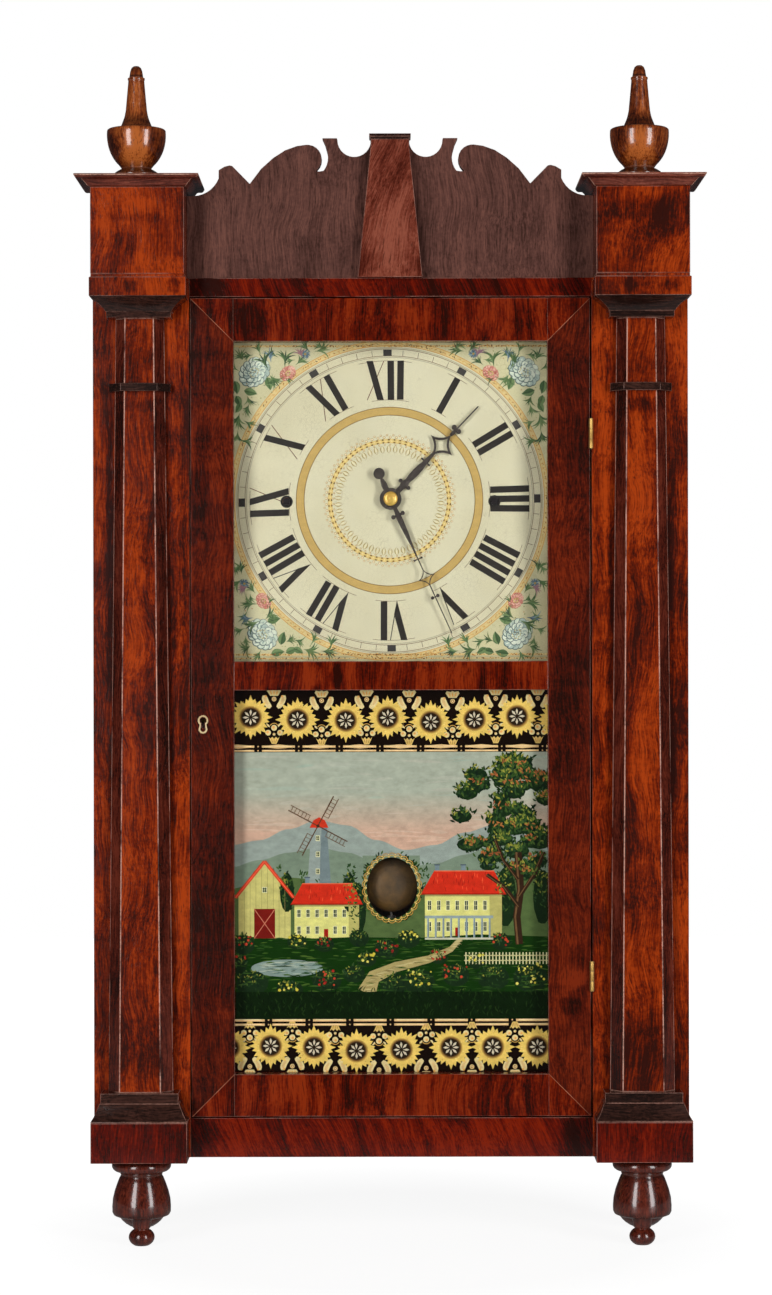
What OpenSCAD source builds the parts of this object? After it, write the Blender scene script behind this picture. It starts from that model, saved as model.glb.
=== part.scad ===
// Pilaster and splat shelf clock with a weight-driven wooden movement.
// Frame: X to the viewer's right, Y from front to back, Z up, floor at Z = 0.

/* [Case] */
// Width of the case over its sides
case_w = 476; // [466:1:520]
// Depth of the case behind the face of its stiles
case_d = 98; // [94:1:130]
// How far the blocks stand in front of the stiles
block_proud = 30; // [26:1:36]
// Height of the feet
foot_h = 69.4; // [60:0.2:80]
// Height of the case from its underside to its top
carcass_h = 703.3; // [690:0.1:740]
// Thickness of the stiles, rails and door
frame_t = 20; // [18:0.5:24]
// Thickness of the side boards
side_t = 12; // [8:0.5:14]
// Thickness of the backboard
back_t = 6; // [4:0.5:6]
// Thickness of the top and bottom boards
deck_t = 12; // [8:0.5:14]
// Height of the bottom rail
bottom_rail_h = 31.5; // [28:0.5:36]
// Height of the rail over the door
top_rail_h = 15; // [12:0.5:18]
// Width of each stile
stile_w = 77; // [72:0.5:79]

/* [Columns] */
// Distance of each column's middle from the side of the case
column_in = 38; // [37.5:0.25:39]
// How much narrower a base block is than the stile behind it
block_reveal = 0.5; // [0:0.1:2]
// Height of a base block
base_block_h = 32; // [28:0.5:36]
// Height of the ogee above a base block
base_ogee_h = 14.8; // [12:0.2:18]
// How far the ogee steps in
base_ogee_in = 7.4; // [5:0.2:8]
// Height of the plain fillet above the ogee
base_fillet_h = 7.5; // [5:0.5:10]
// Width of a pilaster at its foot
pilaster_foot_w = 51.5; // [46:0.5:56]
// Width of a pilaster at its top
pilaster_top_w = 38.6; // [34:0.2:44]
// How far a pilaster stands out at its foot
pilaster_foot_d = 17.5; // [15:0.5:20]
// How far a pilaster stands out at its top
pilaster_top_d = 11.5; // [10:0.5:15]
// Height of the neck band round a pilaster
neck_h = 6.3; // [4:0.1:9]
// Distance from a pilaster's top down to its neck band
neck_drop = 52; // [40:1:70]
// How far the neck band stands out
neck_proud = 4.6; // [3:0.2:6]
// Height of the cap fillet
cap_fillet_h = 4.8; // [3:0.2:7]
// Width of the cap fillet
cap_fillet_w = 51.4; // [48:0.2:56]
// Height of the cove under the capital band
cove_h = 11.6; // [8:0.2:14]
// Height of the capital band with its thin fillet
band_h = 16.7; // [12:0.1:22]
// Step back of the thin fillet over the capital band
band_step = 1.2; // [0.5:0.1:3]
// Height of the thin fillet over the capital band
band_step_h = 2.6; // [1:0.1:4]
// Width of a capital block
die_w = 74.2; // [70:0.2:76]
// Height of a capital block
die_h = 68.8; // [60:0.2:80]
// Depth of a capital block
die_d = 72; // [60:1:80]
// Height of a cornice cap
cornice_h = 8.9; // [7:0.1:12]
// Overhang of a cornice cap
cornice_over = 12; // [8:0.5:14]

/* [Finials] */
// Height of a finial
finial_h = 93; // [80:0.5:100]
// Widest radius of a finial's bowl
finial_r = 23.6; // [20:0.2:26]
// How far out of line the left finial's seat is
finial_off = 3.2; // [-4:0.2:4]

/* [Splat] */
// Thickness of the splat
splat_t = 10; // [7:0.5:14]
// Set-back of the splat behind the stiles' face
splat_back = 2; // [0:0.5:6]
// Height of the splat's horns above the case
splat_h = 112.2; // [100:0.2:122]
// Half width of the keystone at its foot
keystone_foot = 25.8; // [22:0.2:30]
// Half width of the keystone at its top
keystone_top = 14.8; // [12:0.2:18]
// How far the keystone stands out from the splat
keystone_proud = 9; // [6:0.5:12]
// Height of the keystone's cap
keystone_cap_h = 4.6; // [4:0.2:7]

/* [Door] */
// Gap between the door and the frame round it
door_gap = 1; // [0.8:0.1:1.4]
// Width of a door stile
door_stile_w = 34.4; // [30:0.2:44]
// Height of the door's bottom rail
door_foot_h = 33.8; // [28:0.2:40]
// Height of the lower glass that shows
tablet_h = 307.2; // [290:0.2:315]
// Height of the door's middle rail
door_mid_h = 23.2; // [18:0.2:30]
// Height of the upper glass that shows
dial_sight_h = 256; // [240:0.2:262]
// Thickness of the glass
glass_t = 2; // [1.6:0.1:2.4]
// Lap of the glass behind the door frame
glass_lap = 4.5; // [3:0.5:6]
// Distance of the glass behind the door's face
glass_back = 13; // [11:0.5:14]
// Radius of a hinge barrel
hinge_r = 1.7; // [1.5:0.1:2]
// Length of a hinge
hinge_h = 24; // [20:1:40]
// Height of the keyhole above the door's foot
keyhole_z = 317; // [300:1:330]
// Distance of the keyhole from the door's left edge
keyhole_in = 9.6; // [9:0.1:12]

/* [Dial] */
// How far the dial's centre stands above the middle of its glass
dial_rise = 2.9; // [0:0.1:5]
// How far the dial board reaches past the glass at its sides
dial_lap = 15.4; // [10:0.2:17]
// How far the dial board reaches past the glass at its top and bottom
dial_lap_h = 12; // [8:0.5:16]
// Thickness of the dial board
dial_t = 8; // [6:0.5:8.5]
// Gap between the door and the dial board
dial_gap = 6; // [5:0.5:7]
// Distance of each winding square from the dial's middle
winding_x = 84; // [83.6:0.1:84.4]
// Radius of a winding hole
winding_hole_r = 4.8; // [4.5:0.1:6]
// Side of a winding square
winding_square = 5; // [4:0.1:5.4]
// Length of the minute hand
minute_len = 119.4; // [100:0.2:122]
// Length of the hour hand
hour_len = 103; // [85:0.5:105]
// Thickness of a hand
hand_t = 0.9; // [0.7:0.1:1.2]

/* [Movement] */
// Width of the movement plates
plate_w = 220; // [216:1:222]
// Thickness of the movement plates
plate_t = 6; // [5:0.5:7]
// Space between the movement plates
plate_gap = 26; // [25.5:0.1:27]
// Thickness of a wheel
wheel_t = 3; // [2.5:0.1:3.3]
// Radius of the plain arbors
arbor_r = 2; // [1.6:0.1:2.1]
// Radius of the pivots
pivot_r = 1.2; // [1:0.1:1.4]
// Running clearance of pivots and pipes
run = 0.05; // [0.03:0.01:0.08]
// Module of the great wheel teeth
great_m = 1.4; // [1.38:0.01:1.41]
// Module of the train wheel teeth
train_m = 0.8; // [0.78:0.01:0.8]
// Play of the teeth at their middle, as a share of the module
backlash = 0.3; // [0.2:0.05:0.45]
// Radius of a cord
cord_r = 0.7; // [0.5:0.1:0.9]
// Radius of a drum under its cord
drum_r = 17.5; // [16:0.5:18]
// Radius of a pulley at its cord
pulley_r = 12; // [10:0.5:13]
// Radius of a weight
weight_r = 20; // [16:0.5:20]
// Length of a weight
weight_h = 150; // [120:1:160]
// Length of the pendulum
pendulum_len = 283.6; // [260:0.1:300]
// Radius of the pendulum bob
bob_r = 22; // [18:0.5:26]
// Radius of the bell
bell_r = 34; // [28:0.5:36]

/* [Hidden] */

// Space behind the dial for the motion work, and the place and length of the drums
plate_space = 8;
drum_in = 6;
drum_len = 11;

// Smoothness of round faces
$fn = 64;
// Overlap of cutting tools past the face they cut
over = 1;

// Colours of the finishes
mahogany = "#7a2a12";
dark_mahogany = "#4a1d12";
pine = "#b98f5c";
cherry = "#a5683a";
oak = "#a9834f";
brass = "#b8923f";
steel = "#6d6f72";
iron = "#3a3a3c";

// Planes from front to back
full_d = case_d + block_proud + cornice_over;
y_back = full_d/2;
y_face = y_back - case_d;
y_block = y_face - block_proud;
y_inner = y_face + frame_t;
y_board = y_back - back_t;
y_dial = y_inner + dial_gap;
y_dial_back = y_dial + dial_t;
y_plate = y_dial_back + plate_space;
y_in = y_plate + plate_t;
y_out = y_in + plate_gap;
y_plate_back = y_out + plate_t;
y_cord = y_in + drum_in + drum_len/2;
y_great = y_in + 1;
y_third = y_in + 8;
y_centre_wheel = y_in + 14;
y_second = y_in + 21;
y_glass = y_face + glass_back;
y_pendulum = y_dial_back + 2;
y_count = y_plate - 3.2;
count_t = 2;

// Places from side to side
half_w = case_w/2;
stile_in = half_w - stile_w;
column_x = half_w - column_in;
base_block_w = stile_w - block_reveal;
band_w = base_block_w;
door_half = stile_in - door_gap;
sight_half = door_half - door_stile_w;
dial_half = sight_half + dial_lap;

// Heights
z_foot = foot_h;
z_top = foot_h + carcass_h;
z_rail = z_foot + bottom_rail_h;
z_door = z_rail + door_gap;
door_h = z_top - top_rail_h - door_gap - z_door;
z_sight = z_door + door_foot_h;
z_mid = z_sight + tablet_h;
z_dial_sight = z_mid + door_mid_h;
z_sight_top = z_dial_sight + dial_sight_h;
dial_z = z_dial_sight + dial_sight_h/2 + dial_rise;
dial_half_h = dial_sight_h/2 + dial_lap_h;
z_base_top = z_foot + base_block_h + base_ogee_h + base_fillet_h;
z_band = z_top - band_h;
z_cove = z_band - cove_h;
z_pil_top = z_cove - cap_fillet_h;
pilaster_h = z_pil_top - z_base_top;
z_die_top = z_top + die_h;
z_cornice_top = z_die_top + cornice_h;
keystone_drop = 2.6;
keystone_z = z_top + splat_h - keystone_drop;

// Thickness of the great and second wheels, and how far pinions stand past their wheels
great_t = 3.5;
second_t = 3.4;
pinion_lap = 0.3;
pinion_over = 1;

// Tooth forms: pressure angle and depths as shares of the module
pressure = 25;
addendum = 0.8;
dedendum = 1.15;

// Counts of teeth
great_n = 56;
second_pinion_n = 14;
second_n = 36;
centre_pinion_n = 16;
centre_n = 78;
train_pinion_n = 10;
third_n = 80;
escape_n = 54;
pin_wheel_n = 54;
warning_n = 50;
cannon_n = 18;
minute_n = 54;
minute_pinion_n = 15;
hour_n = 60;
count_m = 1;
count_pinion_n = 28;
count_n = 39;
motion_d = 24;
cannon_m = 2*motion_d/(cannon_n + minute_n);
hour_m = 2*motion_d/(minute_pinion_n + hour_n);

// Distances between arbors
d_great = great_m*(great_n + second_pinion_n)/2;
d_second = great_m*(second_n + centre_pinion_n)/2;
d_centre = train_m*(centre_n + train_pinion_n)/2;
d_third = train_m*(third_n + train_pinion_n)/2;
d_pin = train_m*(pin_wheel_n + train_pinion_n)/2;
d_warn = train_m*(warning_n + train_pinion_n)/2;
d_count = count_m*(count_pinion_n + count_n)/2;

// Where two circles about p and q of radii a and b meet, on the left going from p to q
function meet(p, q, a, b) = let(
    v = q - p,
    d = norm(v),
    along = (a*a - b*b + d*d)/(2*d),
    up = sqrt(max(0, a*a - along*along)),
    u = v/d
) p + along*u + up*[-u[1], u[0]];
function bearing(p, q) = atan2(q[1] - p[1], q[0] - p[0]);

// Arbor places, as [x, z]
centre = [0, dial_z];
time_drum_at = [winding_x, dial_z - 2];
time_second_at = meet(centre, time_drum_at, d_second, d_great);
verge_drop = 28.9;
escape_gap = 34.5;
verge_at = [0, dial_z - verge_drop];
escape_at = [0, dial_z - verge_drop - escape_gap];
time_third_at = meet(escape_at, centre, d_third, d_centre);
minute_at = [0, dial_z + motion_d];
strike_drum_at = [-winding_x, dial_z - 2];
pin_at = meet(strike_drum_at, centre, d_great, d_second);
warning_at = pin_at + d_pin*[cos(110), sin(110)];
fly_at = warning_at + d_warn*[cos(60), sin(60)];
count_at = strike_drum_at - [0, d_count];
hammer_at = [-winding_x - 12, dial_z - 60];
bell_drop = 167;
bell_at = [-50, dial_z - bell_drop];
escape_r = 26;
bob_z = verge_at[1] - pendulum_len;

// Cord route: drum, over the pulley, down to the weight
cord_wound_r = drum_r + cord_r;
weight_x = (stile_in + half_w - side_t)/2 - 13;
pulley_at = [weight_x - pulley_r, z_top - deck_t - 26];
weight_hook_z = z_top - deck_t - 60;
weight_top = weight_hook_z - 14;
cord_axis = bearing(time_drum_at, pulley_at);
cord_span = norm(pulley_at - time_drum_at);
cord_normal = cord_axis + acos((cord_wound_r - pulley_r)/cord_span);
cord_unit = [cos(cord_normal), sin(cord_normal)];
cord_from = time_drum_at + cord_wound_r*cord_unit;
cord_to = pulley_at + pulley_r*cord_unit;
cord_slope = bearing(cord_from, cord_to);

// Points of an arc about c from angle a to angle b in n steps
function arc(c, r, a, b, n) = [for (i = [0:n]) c + r*[cos(a + (b - a)*i/n), sin(a + (b - a)*i/n)]];
function flip(points) = [for (i = [len(points) - 1:-1:0]) [-points[i][0], points[i][1]]];
// Points of an S from p to q, hollow at its first half and full at its second when bulge is over 0
function ogee(p, q, bulge, n) = [for (i = [0:n]) let(
    t = i/n,
    v = q - p
) p + t*v + bulge*sin(360*t)*[v[1], -v[0]]];
// Points of a shallow hollow from p to q, steep first when bend is over 1
function hollow(p, q, bend, n) = [for (i = [0:n]) let(
    t = i/n,
    v = q - p
) p + [v[0]*pow(t, bend), v[1]*t]];

// Involute of the pressure angle, in radians
function inv(a) = tan(a) - a*PI/180;
// Half angle of a tooth at radius q
function half_tooth(q, r, m) = (PI*m/4 - backlash*m/2)/r*180/PI
    + (inv(pressure) - inv(acos(min(1, r*cos(pressure)/q))))*180/PI;
// Outline of a gear of n teeth with a tooth at angle phase
function gear_points(n, m, phase) = let(
    r = n*m/2,
    tip = r + addendum*m,
    root = r - dedendum*m,
    radii = n < 30 ? [root, max(r*cos(pressure), root + 0.1*m), r, tip] : [root, r, tip],
    k = len(radii)
) [for (i = [0:n - 1], j = [0:2*k - 1]) let(
    q = j < k ? radii[j] : radii[2*k - 1 - j],
    h = half_tooth(q, r, m),
    a = phase + 360*i/n + (j < k ? -h : h)
) q*[cos(a), sin(a)]];

// Lays a flat drawing in the XZ plane, thick from y0 to y1
module slab(y0, y1) translate([0, y1, 0]) rotate([90, 0, 0]) linear_extrude(y1 - y0) children();
// A rod along Y at p from y0 to y1
module rod(p, r, y0, y1) translate([p[0], y0, p[1]]) rotate([-90, 0, 0]) cylinder(r = r, h = y1 - y0);
// A gear at p from y0 to y1
module gear(p, n, m, phase, y0, y1) slab(y0, y1) translate(p) polygon(gear_points(n, m, phase));
// A box between two corners
module span_box(a, b) translate(a) cube(b - a);
// Copies its children to both sides
module both_sides() {
    children();
    mirror([1, 0, 0]) children();
}
// A moulding with the same profile on its front and both sides.
// The profile is [distance out from the narrowest face, height] from foot to top.
module moulding(cx, w, y0, y1, z0, profile) {
    deepest = max([for (p = profile) p[0]]);
    top = profile[len(profile) - 1][1];
    intersection() {
        translate([cx, y1, z0]) rotate([90, 0, 0]) linear_extrude(y1 - y0 + deepest)
            polygon(concat(
                [for (p = profile) [w/2 + p[0], p[1]]],
                [for (i = [len(profile) - 1:-1:0]) [-w/2 - profile[i][0], profile[i][1]]]
            ));
        translate([cx - w, 0, z0]) rotate([90, 0, 90]) linear_extrude(2*w)
            polygon(concat([[y1 + over, 0]], [for (p = profile) [y0 - p[0], p[1]]], [[y1 + over, top]]));
    }
}

// Case

module backboard() color(pine)
    span_box([-half_w + side_t, y_board, z_foot], [half_w - side_t, y_back, z_top]);

module case_sides() color(dark_mahogany) both_sides()
    span_box([half_w - side_t, y_inner, z_foot], [half_w, y_back, z_top]);

module top_board() color(pine)
    span_box([-half_w + side_t, y_inner, z_top - deck_t], [half_w - side_t, y_board, z_top]);

module bottom_board() color(pine)
    span_box([-half_w + side_t, y_inner, z_foot], [half_w - side_t, y_board, z_foot + deck_t]);

mortise_clear = 0.5;
bolt_h = 10;
bolt_t = 3;
bolt_throw = 5;
bolt_z = z_door + keyhole_z - 4;
y_bolt = y_inner - 4;

module stiles() color(mahogany) difference() {
    both_sides() span_box([stile_in, y_face, z_foot], [half_w, y_inner, z_top]);
    span_box(
        [-stile_in - bolt_throw - mortise_clear, y_bolt - bolt_t - mortise_clear, bolt_z - mortise_clear],
        [-stile_in + over, y_bolt + mortise_clear, bolt_z + bolt_h + mortise_clear]
    );
}

module case_rails() color(mahogany) {
    span_box([-stile_in, y_face, z_foot], [stile_in, y_inner, z_rail]);
    span_box([-stile_in, y_face, z_top - top_rail_h], [stile_in, y_inner, z_top]);
}

module base_blocks() color(mahogany) both_sides()
    span_box(
        [column_x - base_block_w/2, y_block, z_foot],
        [column_x + base_block_w/2, y_face, z_foot + base_block_h]
    );

module base_mouldings() color(dark_mahogany) both_sides()
    moulding(
        column_x, base_block_w - 2*base_ogee_in, y_block + base_ogee_in, y_face, z_foot + base_block_h,
        concat(
            [[base_ogee_in, 0]],
            hollow([base_ogee_in, 0.8], [0.8, base_ogee_h - 0.6], 0.8, 8),
            [[0, base_ogee_h - 0.6], [0, base_ogee_h + base_fillet_h]]
        )
    );

// Half outline of a pilaster's three-faced section, width w and depth d, splayed by s
function pilaster_points(w, d, s) = [
    [-w/2, 0], [-w/2, -d + s], [-w/2 + s, -d], [w/2 - s, -d], [w/2, -d + s], [w/2, 0]
];
function pilaster_w(t) = pilaster_foot_w + (pilaster_top_w - pilaster_foot_w)*t;
function pilaster_d(t) = pilaster_foot_d + (pilaster_top_d - pilaster_foot_d)*t;
splay_foot = 9.4;
splay_top = 7.9;
slice = 0.01;

module pilasters() color(mahogany) both_sides() translate([column_x, y_face, 0]) hull() {
    translate([0, 0, z_base_top]) linear_extrude(slice)
        polygon(pilaster_points(pilaster_foot_w, pilaster_foot_d, splay_foot));
    translate([0, 0, z_pil_top - slice]) linear_extrude(slice)
        polygon(pilaster_points(pilaster_top_w, pilaster_top_d, splay_top));
}

neck_t = 1 - neck_drop/pilaster_h;
// Slack round the pilaster inside its neck band
neck_slack = 0.15;

cove_in = (band_w - cap_fillet_w)/2;
// The neck band goes round the pilaster; above it come fillet, cove, band and a thin fillet
module capital_mouldings() color(dark_mahogany) both_sides() {
    translate([column_x, y_face, z_pil_top - neck_drop - neck_h]) difference() {
        linear_extrude(neck_h) polygon(pilaster_points(
            pilaster_w(neck_t) + 2*neck_proud, pilaster_d(neck_t) + neck_proud, splay_top + 2
        ));
        translate([0, 0, -over]) linear_extrude(neck_h + 2*over) polygon(pilaster_points(
            pilaster_w(neck_t) + 2*neck_slack, pilaster_d(neck_t) + neck_slack, splay_top
        ));
    }
    moulding(
        column_x, cap_fillet_w, y_block + cove_in, y_face, z_pil_top,
        concat(
            [[0, 0], [0, cap_fillet_h]],
            hollow([0.6, cap_fillet_h], [cove_in, cap_fillet_h + cove_h - 0.6], 1.35, 8),
            [
                [cove_in, z_band - z_pil_top],
                [cove_in, z_top - band_step_h - z_pil_top],
                [cove_in - band_step, z_top - band_step_h - z_pil_top + band_step/2],
                [cove_in - band_step, z_top - z_pil_top]
            ]
        )
    );
}

module capital_blocks() color(mahogany) both_sides()
    span_box([column_x - die_w/2, y_block, z_top], [column_x + die_w/2, y_block + die_d, z_die_top]);

module cornices() color(dark_mahogany) both_sides()
    moulding(
        column_x, die_w, y_block, y_block + die_d, z_die_top,
        concat(
            arc([0, 3.2], 3.2, -90, -20, 5),
            [[cornice_over*0.36, 3.4]],
            ogee([cornice_over*0.42, 4.2], [cornice_over - 0.4, cornice_h - 1.6], -0.09, 8),
            [[cornice_over, cornice_h - 1.2], [cornice_over, cornice_h]]
        )
    );

// Left half outline of the splat above the case top, from the capital block to the keystone
die_in = column_x - die_w/2;
horn = splat_h;
splat_left = concat(
    [[-die_in, 0], [-die_in, 66]],
    arc([4.9 - die_in, 88.5], 22.4, -88, -22, 7),
    [for (p = [[25.7, 86.8], [30.4, 89.6], [34.3, 90.6], [36.5, 90.2], [50.6, 75.8]]) p - [die_in, 0]],
    [[-103.2, 87.8], [-93.6, 96.4], [-84, 102.6], [-74.5, 106], [-67.2, 107]],
    arc([-66, 95.6], 11.4, 84, -46, 8),
    [[-59.5, 85.8], [-56.5, 85.6]],
    arc([-66.6, 96.6], 17, -38, 18, 6),
    [[-51.9, 107.2], [-54.2, horn], [-42.4, horn]],
    arc([-28.6, horn - 1.6], 13.4, 180, 352, 14)
);

module splat() color(dark_mahogany) slab(y_face + splat_back, y_face + splat_back + splat_t)
    translate([0, z_top]) polygon(concat(
        splat_left, [[-keystone_top, horn - keystone_drop], [keystone_top, horn - keystone_drop]],
        flip(splat_left)
    ));

module splat_keystone() color(mahogany) {
    slab(y_face + splat_back - keystone_proud, y_face + splat_back) polygon([
        [-keystone_foot, z_top], [keystone_foot, z_top],
        [keystone_top, keystone_z], [-keystone_top, keystone_z]
    ]);
    for (i = [0, 1]) span_box(
        [-keystone_top - 0.8 - i, y_face + splat_back - keystone_proud - 0.8 - i,
            keystone_z + i*keystone_cap_h/2],
        [keystone_top + 0.8 + i, y_face + splat_back + splat_t, keystone_z + (i + 1)*keystone_cap_h/2]
    );
}

bowl_z = 37.6;
bowl_drop = 30;
// Half profile of a finial, as [radius, height]: foot, bowl, waisted neck, collar and domed tip.
// The bowl is widest at bowl_z, and under it is part of an ellipse
function finial_profile(h, r) = concat(
    [[0, 0], [18.6, 0], [18.6, 5.4], [17.1, 7.2], [14.7, 8.8], [12.4, 10], [11.9, 10.8]],
    [for (t = [-54:5:6]) [r*cos(t), bowl_z + bowl_drop*sin(t)]],
    [[r - 0.3, 41.2], [r - 1, 41.8], [13.4, 43.4]],
    [[12.4, 44.6], [10.9, 48.2], [9.6, 51.8], [8.6, 56.6], [7.8, 65], [7.1, 72.8], [6.6, 78.4], [6.4, 81.2]],
    [[6.8, 82], [6.8, 83.2], [5.6, 83.6]],
    [[5.4, h - 8], [4.8, h - 4.2], [3.8, h - 1.6], [2.2, h - 0.3], [0, h]]
);
y_finial = y_block + die_d/2 - 1;

module finials() color(cherry) {
    for (side = [-1, 1]) translate([side*column_x - (side < 0 ? finial_off : 0), y_finial, z_cornice_top])
        rotate_extrude() polygon(finial_profile(finial_h, finial_r));
}

foot_knob_r = 10.4;
foot_knob_h = 13;
foot_flat_r = 5.4;
foot_lip_z = 23.6;
// Half profile of a front foot, as [radius, height]: knob, neck, bell, bead and flange
function foot_profile(h) = concat(
    [[0, 0], [foot_flat_r, 0]],
    [for (t = [-56:14:56]) [foot_knob_r*cos(t), foot_knob_h*(0.5 + sin(t)*0.6)]],
    [[6.9, foot_knob_h + 1], [7.4, foot_knob_h + 4], [8.6, foot_lip_z - 1.4], [8.8, foot_lip_z - 0.4]],
    [[19.3, foot_lip_z], [22.2, foot_lip_z + 1.2], [23.3, foot_lip_z + 3.4]],
    [[23.4, 31.5], [22.9, 37.7], [21.4, 43.9], [19.3, 50], [17.6, 54.2], [16.2, 56.6]],
    [[16.9, 57.2], [16.9, 58.4], [16.4, 59]],
    arc([19, h - 5.2], 4.7, -84, 84, 8),
    [[19, h], [0, h]]
);
rear_foot_r = 22;
rear_flat_angle = 71;
// Half profile of a rear foot, as [radius, height]: a plain ball under a short neck
function rear_foot_profile(h, r) = concat(
    [[0, 0]],
    arc([0, r*sin(rear_flat_angle)], r, -rear_flat_angle, 58, 14),
    [[11.4, 2*r - 1], [11.4, h - 14], [13, h - 10], [17.6, h - 8], [17.6, h], [0, h]]
);
front_foot = [column_x, y_block + 27];
rear_foot = [half_w - 32, y_back - 25];

module feet() color(dark_mahogany) both_sides() {
    translate([front_foot[0], front_foot[1], 0]) rotate_extrude() polygon(foot_profile(foot_h));
    translate([rear_foot[0], rear_foot[1], 0]) rotate_extrude()
        polygon(rear_foot_profile(foot_h, rear_foot_r));
}

// Door

hinge_relief = 0.4;
door_right = door_half - hinge_relief;
hinge_x = (door_right + stile_in)/2;
y_hinge = y_face - hinge_r - 0.3;
leaf_t = 0.5;
hinge_low = 100;
hinge_high_drop = 120.8;
hinge_zs = [z_door + hinge_low, z_door + door_h - hinge_high_drop];
leaf_d = 16;
knuckle = hinge_h/3;
knuckle_gap = 0.15;
pin_r = 0.8;
keyhole_r = 2;

module door_stiles() color(mahogany) difference() {
    union() {
        span_box([-door_half, y_face, z_door], [-sight_half, y_inner, z_door + door_h]);
        span_box([sight_half, y_face, z_door], [door_right, y_inner, z_door + door_h]);
    }
    both_sides() for (z = [[z_sight, z_mid], [z_dial_sight, z_sight_top]])
        span_box(
            [sight_half - over, y_glass, z[0] - glass_lap],
            [sight_half + glass_lap, y_inner + over, z[1] + glass_lap]
        );
    lock_space(0);
    rod([-door_half + keyhole_in, z_door + keyhole_z], keyhole_r, y_face - over, y_lock + over);
    span_box(
        [-door_half + keyhole_in - 0.8, y_face - over, z_door + keyhole_z - 6],
        [-door_half + keyhole_in + 0.8, y_lock + over, z_door + keyhole_z]
    );
}

y_lock = y_inner - 9;
lock_w = door_stile_w - glass_lap - 3.9;
lock_h = 30;
// Space of the lock case let into the back of the door, made smaller by c
module lock_space(c) span_box(
    [-door_half - (c > 0 ? 0 : over), y_lock + c, z_door + keyhole_z - 14 + c],
    [-door_half + lock_w - c, y_inner + (c > 0 ? 1.5 : over), z_door + keyhole_z - 14 + lock_h - c]
);

bolt_len = 14;
bolt_run = 0.15;
module door_lock() color(steel) difference() {
    lock_space(0.05);
    span_box(
        [-door_half - over, y_bolt - bolt_t - bolt_run, bolt_z - bolt_run],
        [-door_half + bolt_len + 1, y_bolt + bolt_run, bolt_z + bolt_h + bolt_run]
    );
    rod([-door_half + keyhole_in, z_door + keyhole_z], keyhole_r, y_lock - over, y_bolt - bolt_t);
}

module lock_bolt() color(brass)
    span_box([-door_half + 0.2, y_bolt - bolt_t, bolt_z], [-door_half + bolt_len, y_bolt, bolt_z + bolt_h]);

module door_rails() color(mahogany) difference() {
    for (z = [[z_door, z_sight], [z_mid, z_dial_sight], [z_sight_top, z_door + door_h]])
        span_box([-sight_half, y_face, z[0]], [sight_half, y_inner, z[1]]);
    for (z = [[z_sight, z_mid], [z_dial_sight, z_sight_top]])
        span_box(
            [-sight_half - over, y_glass, z[0] - glass_lap],
            [sight_half + over, y_inner + over, z[1] + glass_lap]
        );
}

glass_clear = 0.3;
module pane(z0, z1) span_box(
    [-sight_half - glass_lap + glass_clear, y_glass, z0 - glass_lap + glass_clear],
    [sight_half + glass_lap - glass_clear, y_glass + glass_t, z1 + glass_lap - glass_clear]
);
module dial_glass() color([0.8, 0.85, 0.85, 0.3]) pane(z_dial_sight, z_sight_top);
module tablet_glass() color([0.5, 0.6, 0.6, 0.9]) pane(z_sight, z_mid);

escutcheon_t = 0.6;
module escutcheon() color("#d9c79a") slab(y_face - escutcheon_t, y_face)
    translate([-door_half + keyhole_in, z_door + keyhole_z]) difference() {
        union() {
            circle(4.2);
            polygon([[-2.6, -2], [2.6, -2], [3.4, -8], [-3.4, -8]]);
            translate([0, -7]) circle(3.5);
        }
        circle(2.8);
        polygon([[-1.5, -1], [1.5, -1], [2, -7], [-2, -7]]);
        translate([0, -7]) circle(2.1);
    }

module hinge_case_leaves() color(brass) for (z = hinge_zs) {
    difference() {
        union() {
            for (k = [0, 2]) translate([hinge_x, y_hinge, z + k*knuckle])
                cylinder(r = hinge_r, h = knuckle - knuckle_gap);
            span_box(
                [stile_in - leaf_t, y_hinge + 0.2, z],
                [stile_in, y_hinge + leaf_d, z + hinge_h - knuckle_gap]
            );
            for (k = [0, 2]) span_box(
                [hinge_x, y_hinge + 0.2, z + k*knuckle],
                [stile_in, y_hinge + hinge_r + 0.2, z + (k + 1)*knuckle - knuckle_gap]
            );
        }
        translate([hinge_x - hinge_r - 1, y_hinge - hinge_r - 1, z + knuckle - knuckle_gap])
            cube([2*hinge_r + 1.2 - leaf_t/2, 2*hinge_r + 2, knuckle + knuckle_gap]);
    }
    translate([hinge_x, y_hinge, z]) cylinder(r = pin_r, h = hinge_h - knuckle_gap);
}

module hinge_door_leaves() color(brass) for (z = hinge_zs) difference() {
    union() {
        translate([hinge_x, y_hinge, z + knuckle]) cylinder(r = hinge_r, h = knuckle - knuckle_gap);
        span_box(
            [door_right, y_face, z],
            [door_right + leaf_t - 0.1, y_face + leaf_d, z + hinge_h - knuckle_gap]
        );
        span_box(
            [door_right, y_hinge + 0.2, z + knuckle],
            [hinge_x, y_face + 1, z + 2*knuckle - knuckle_gap]
        );
    }
    translate([hinge_x, y_hinge, z]) cylinder(r = pin_r + run, h = hinge_h);
}

// Inside fittings

strip_out = stile_in + 9;
strip_lap = 5;
strip_ledge = 3;
upright_x = plate_w/2;
upright_w = 14;
dial_clear = 0.4;

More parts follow.
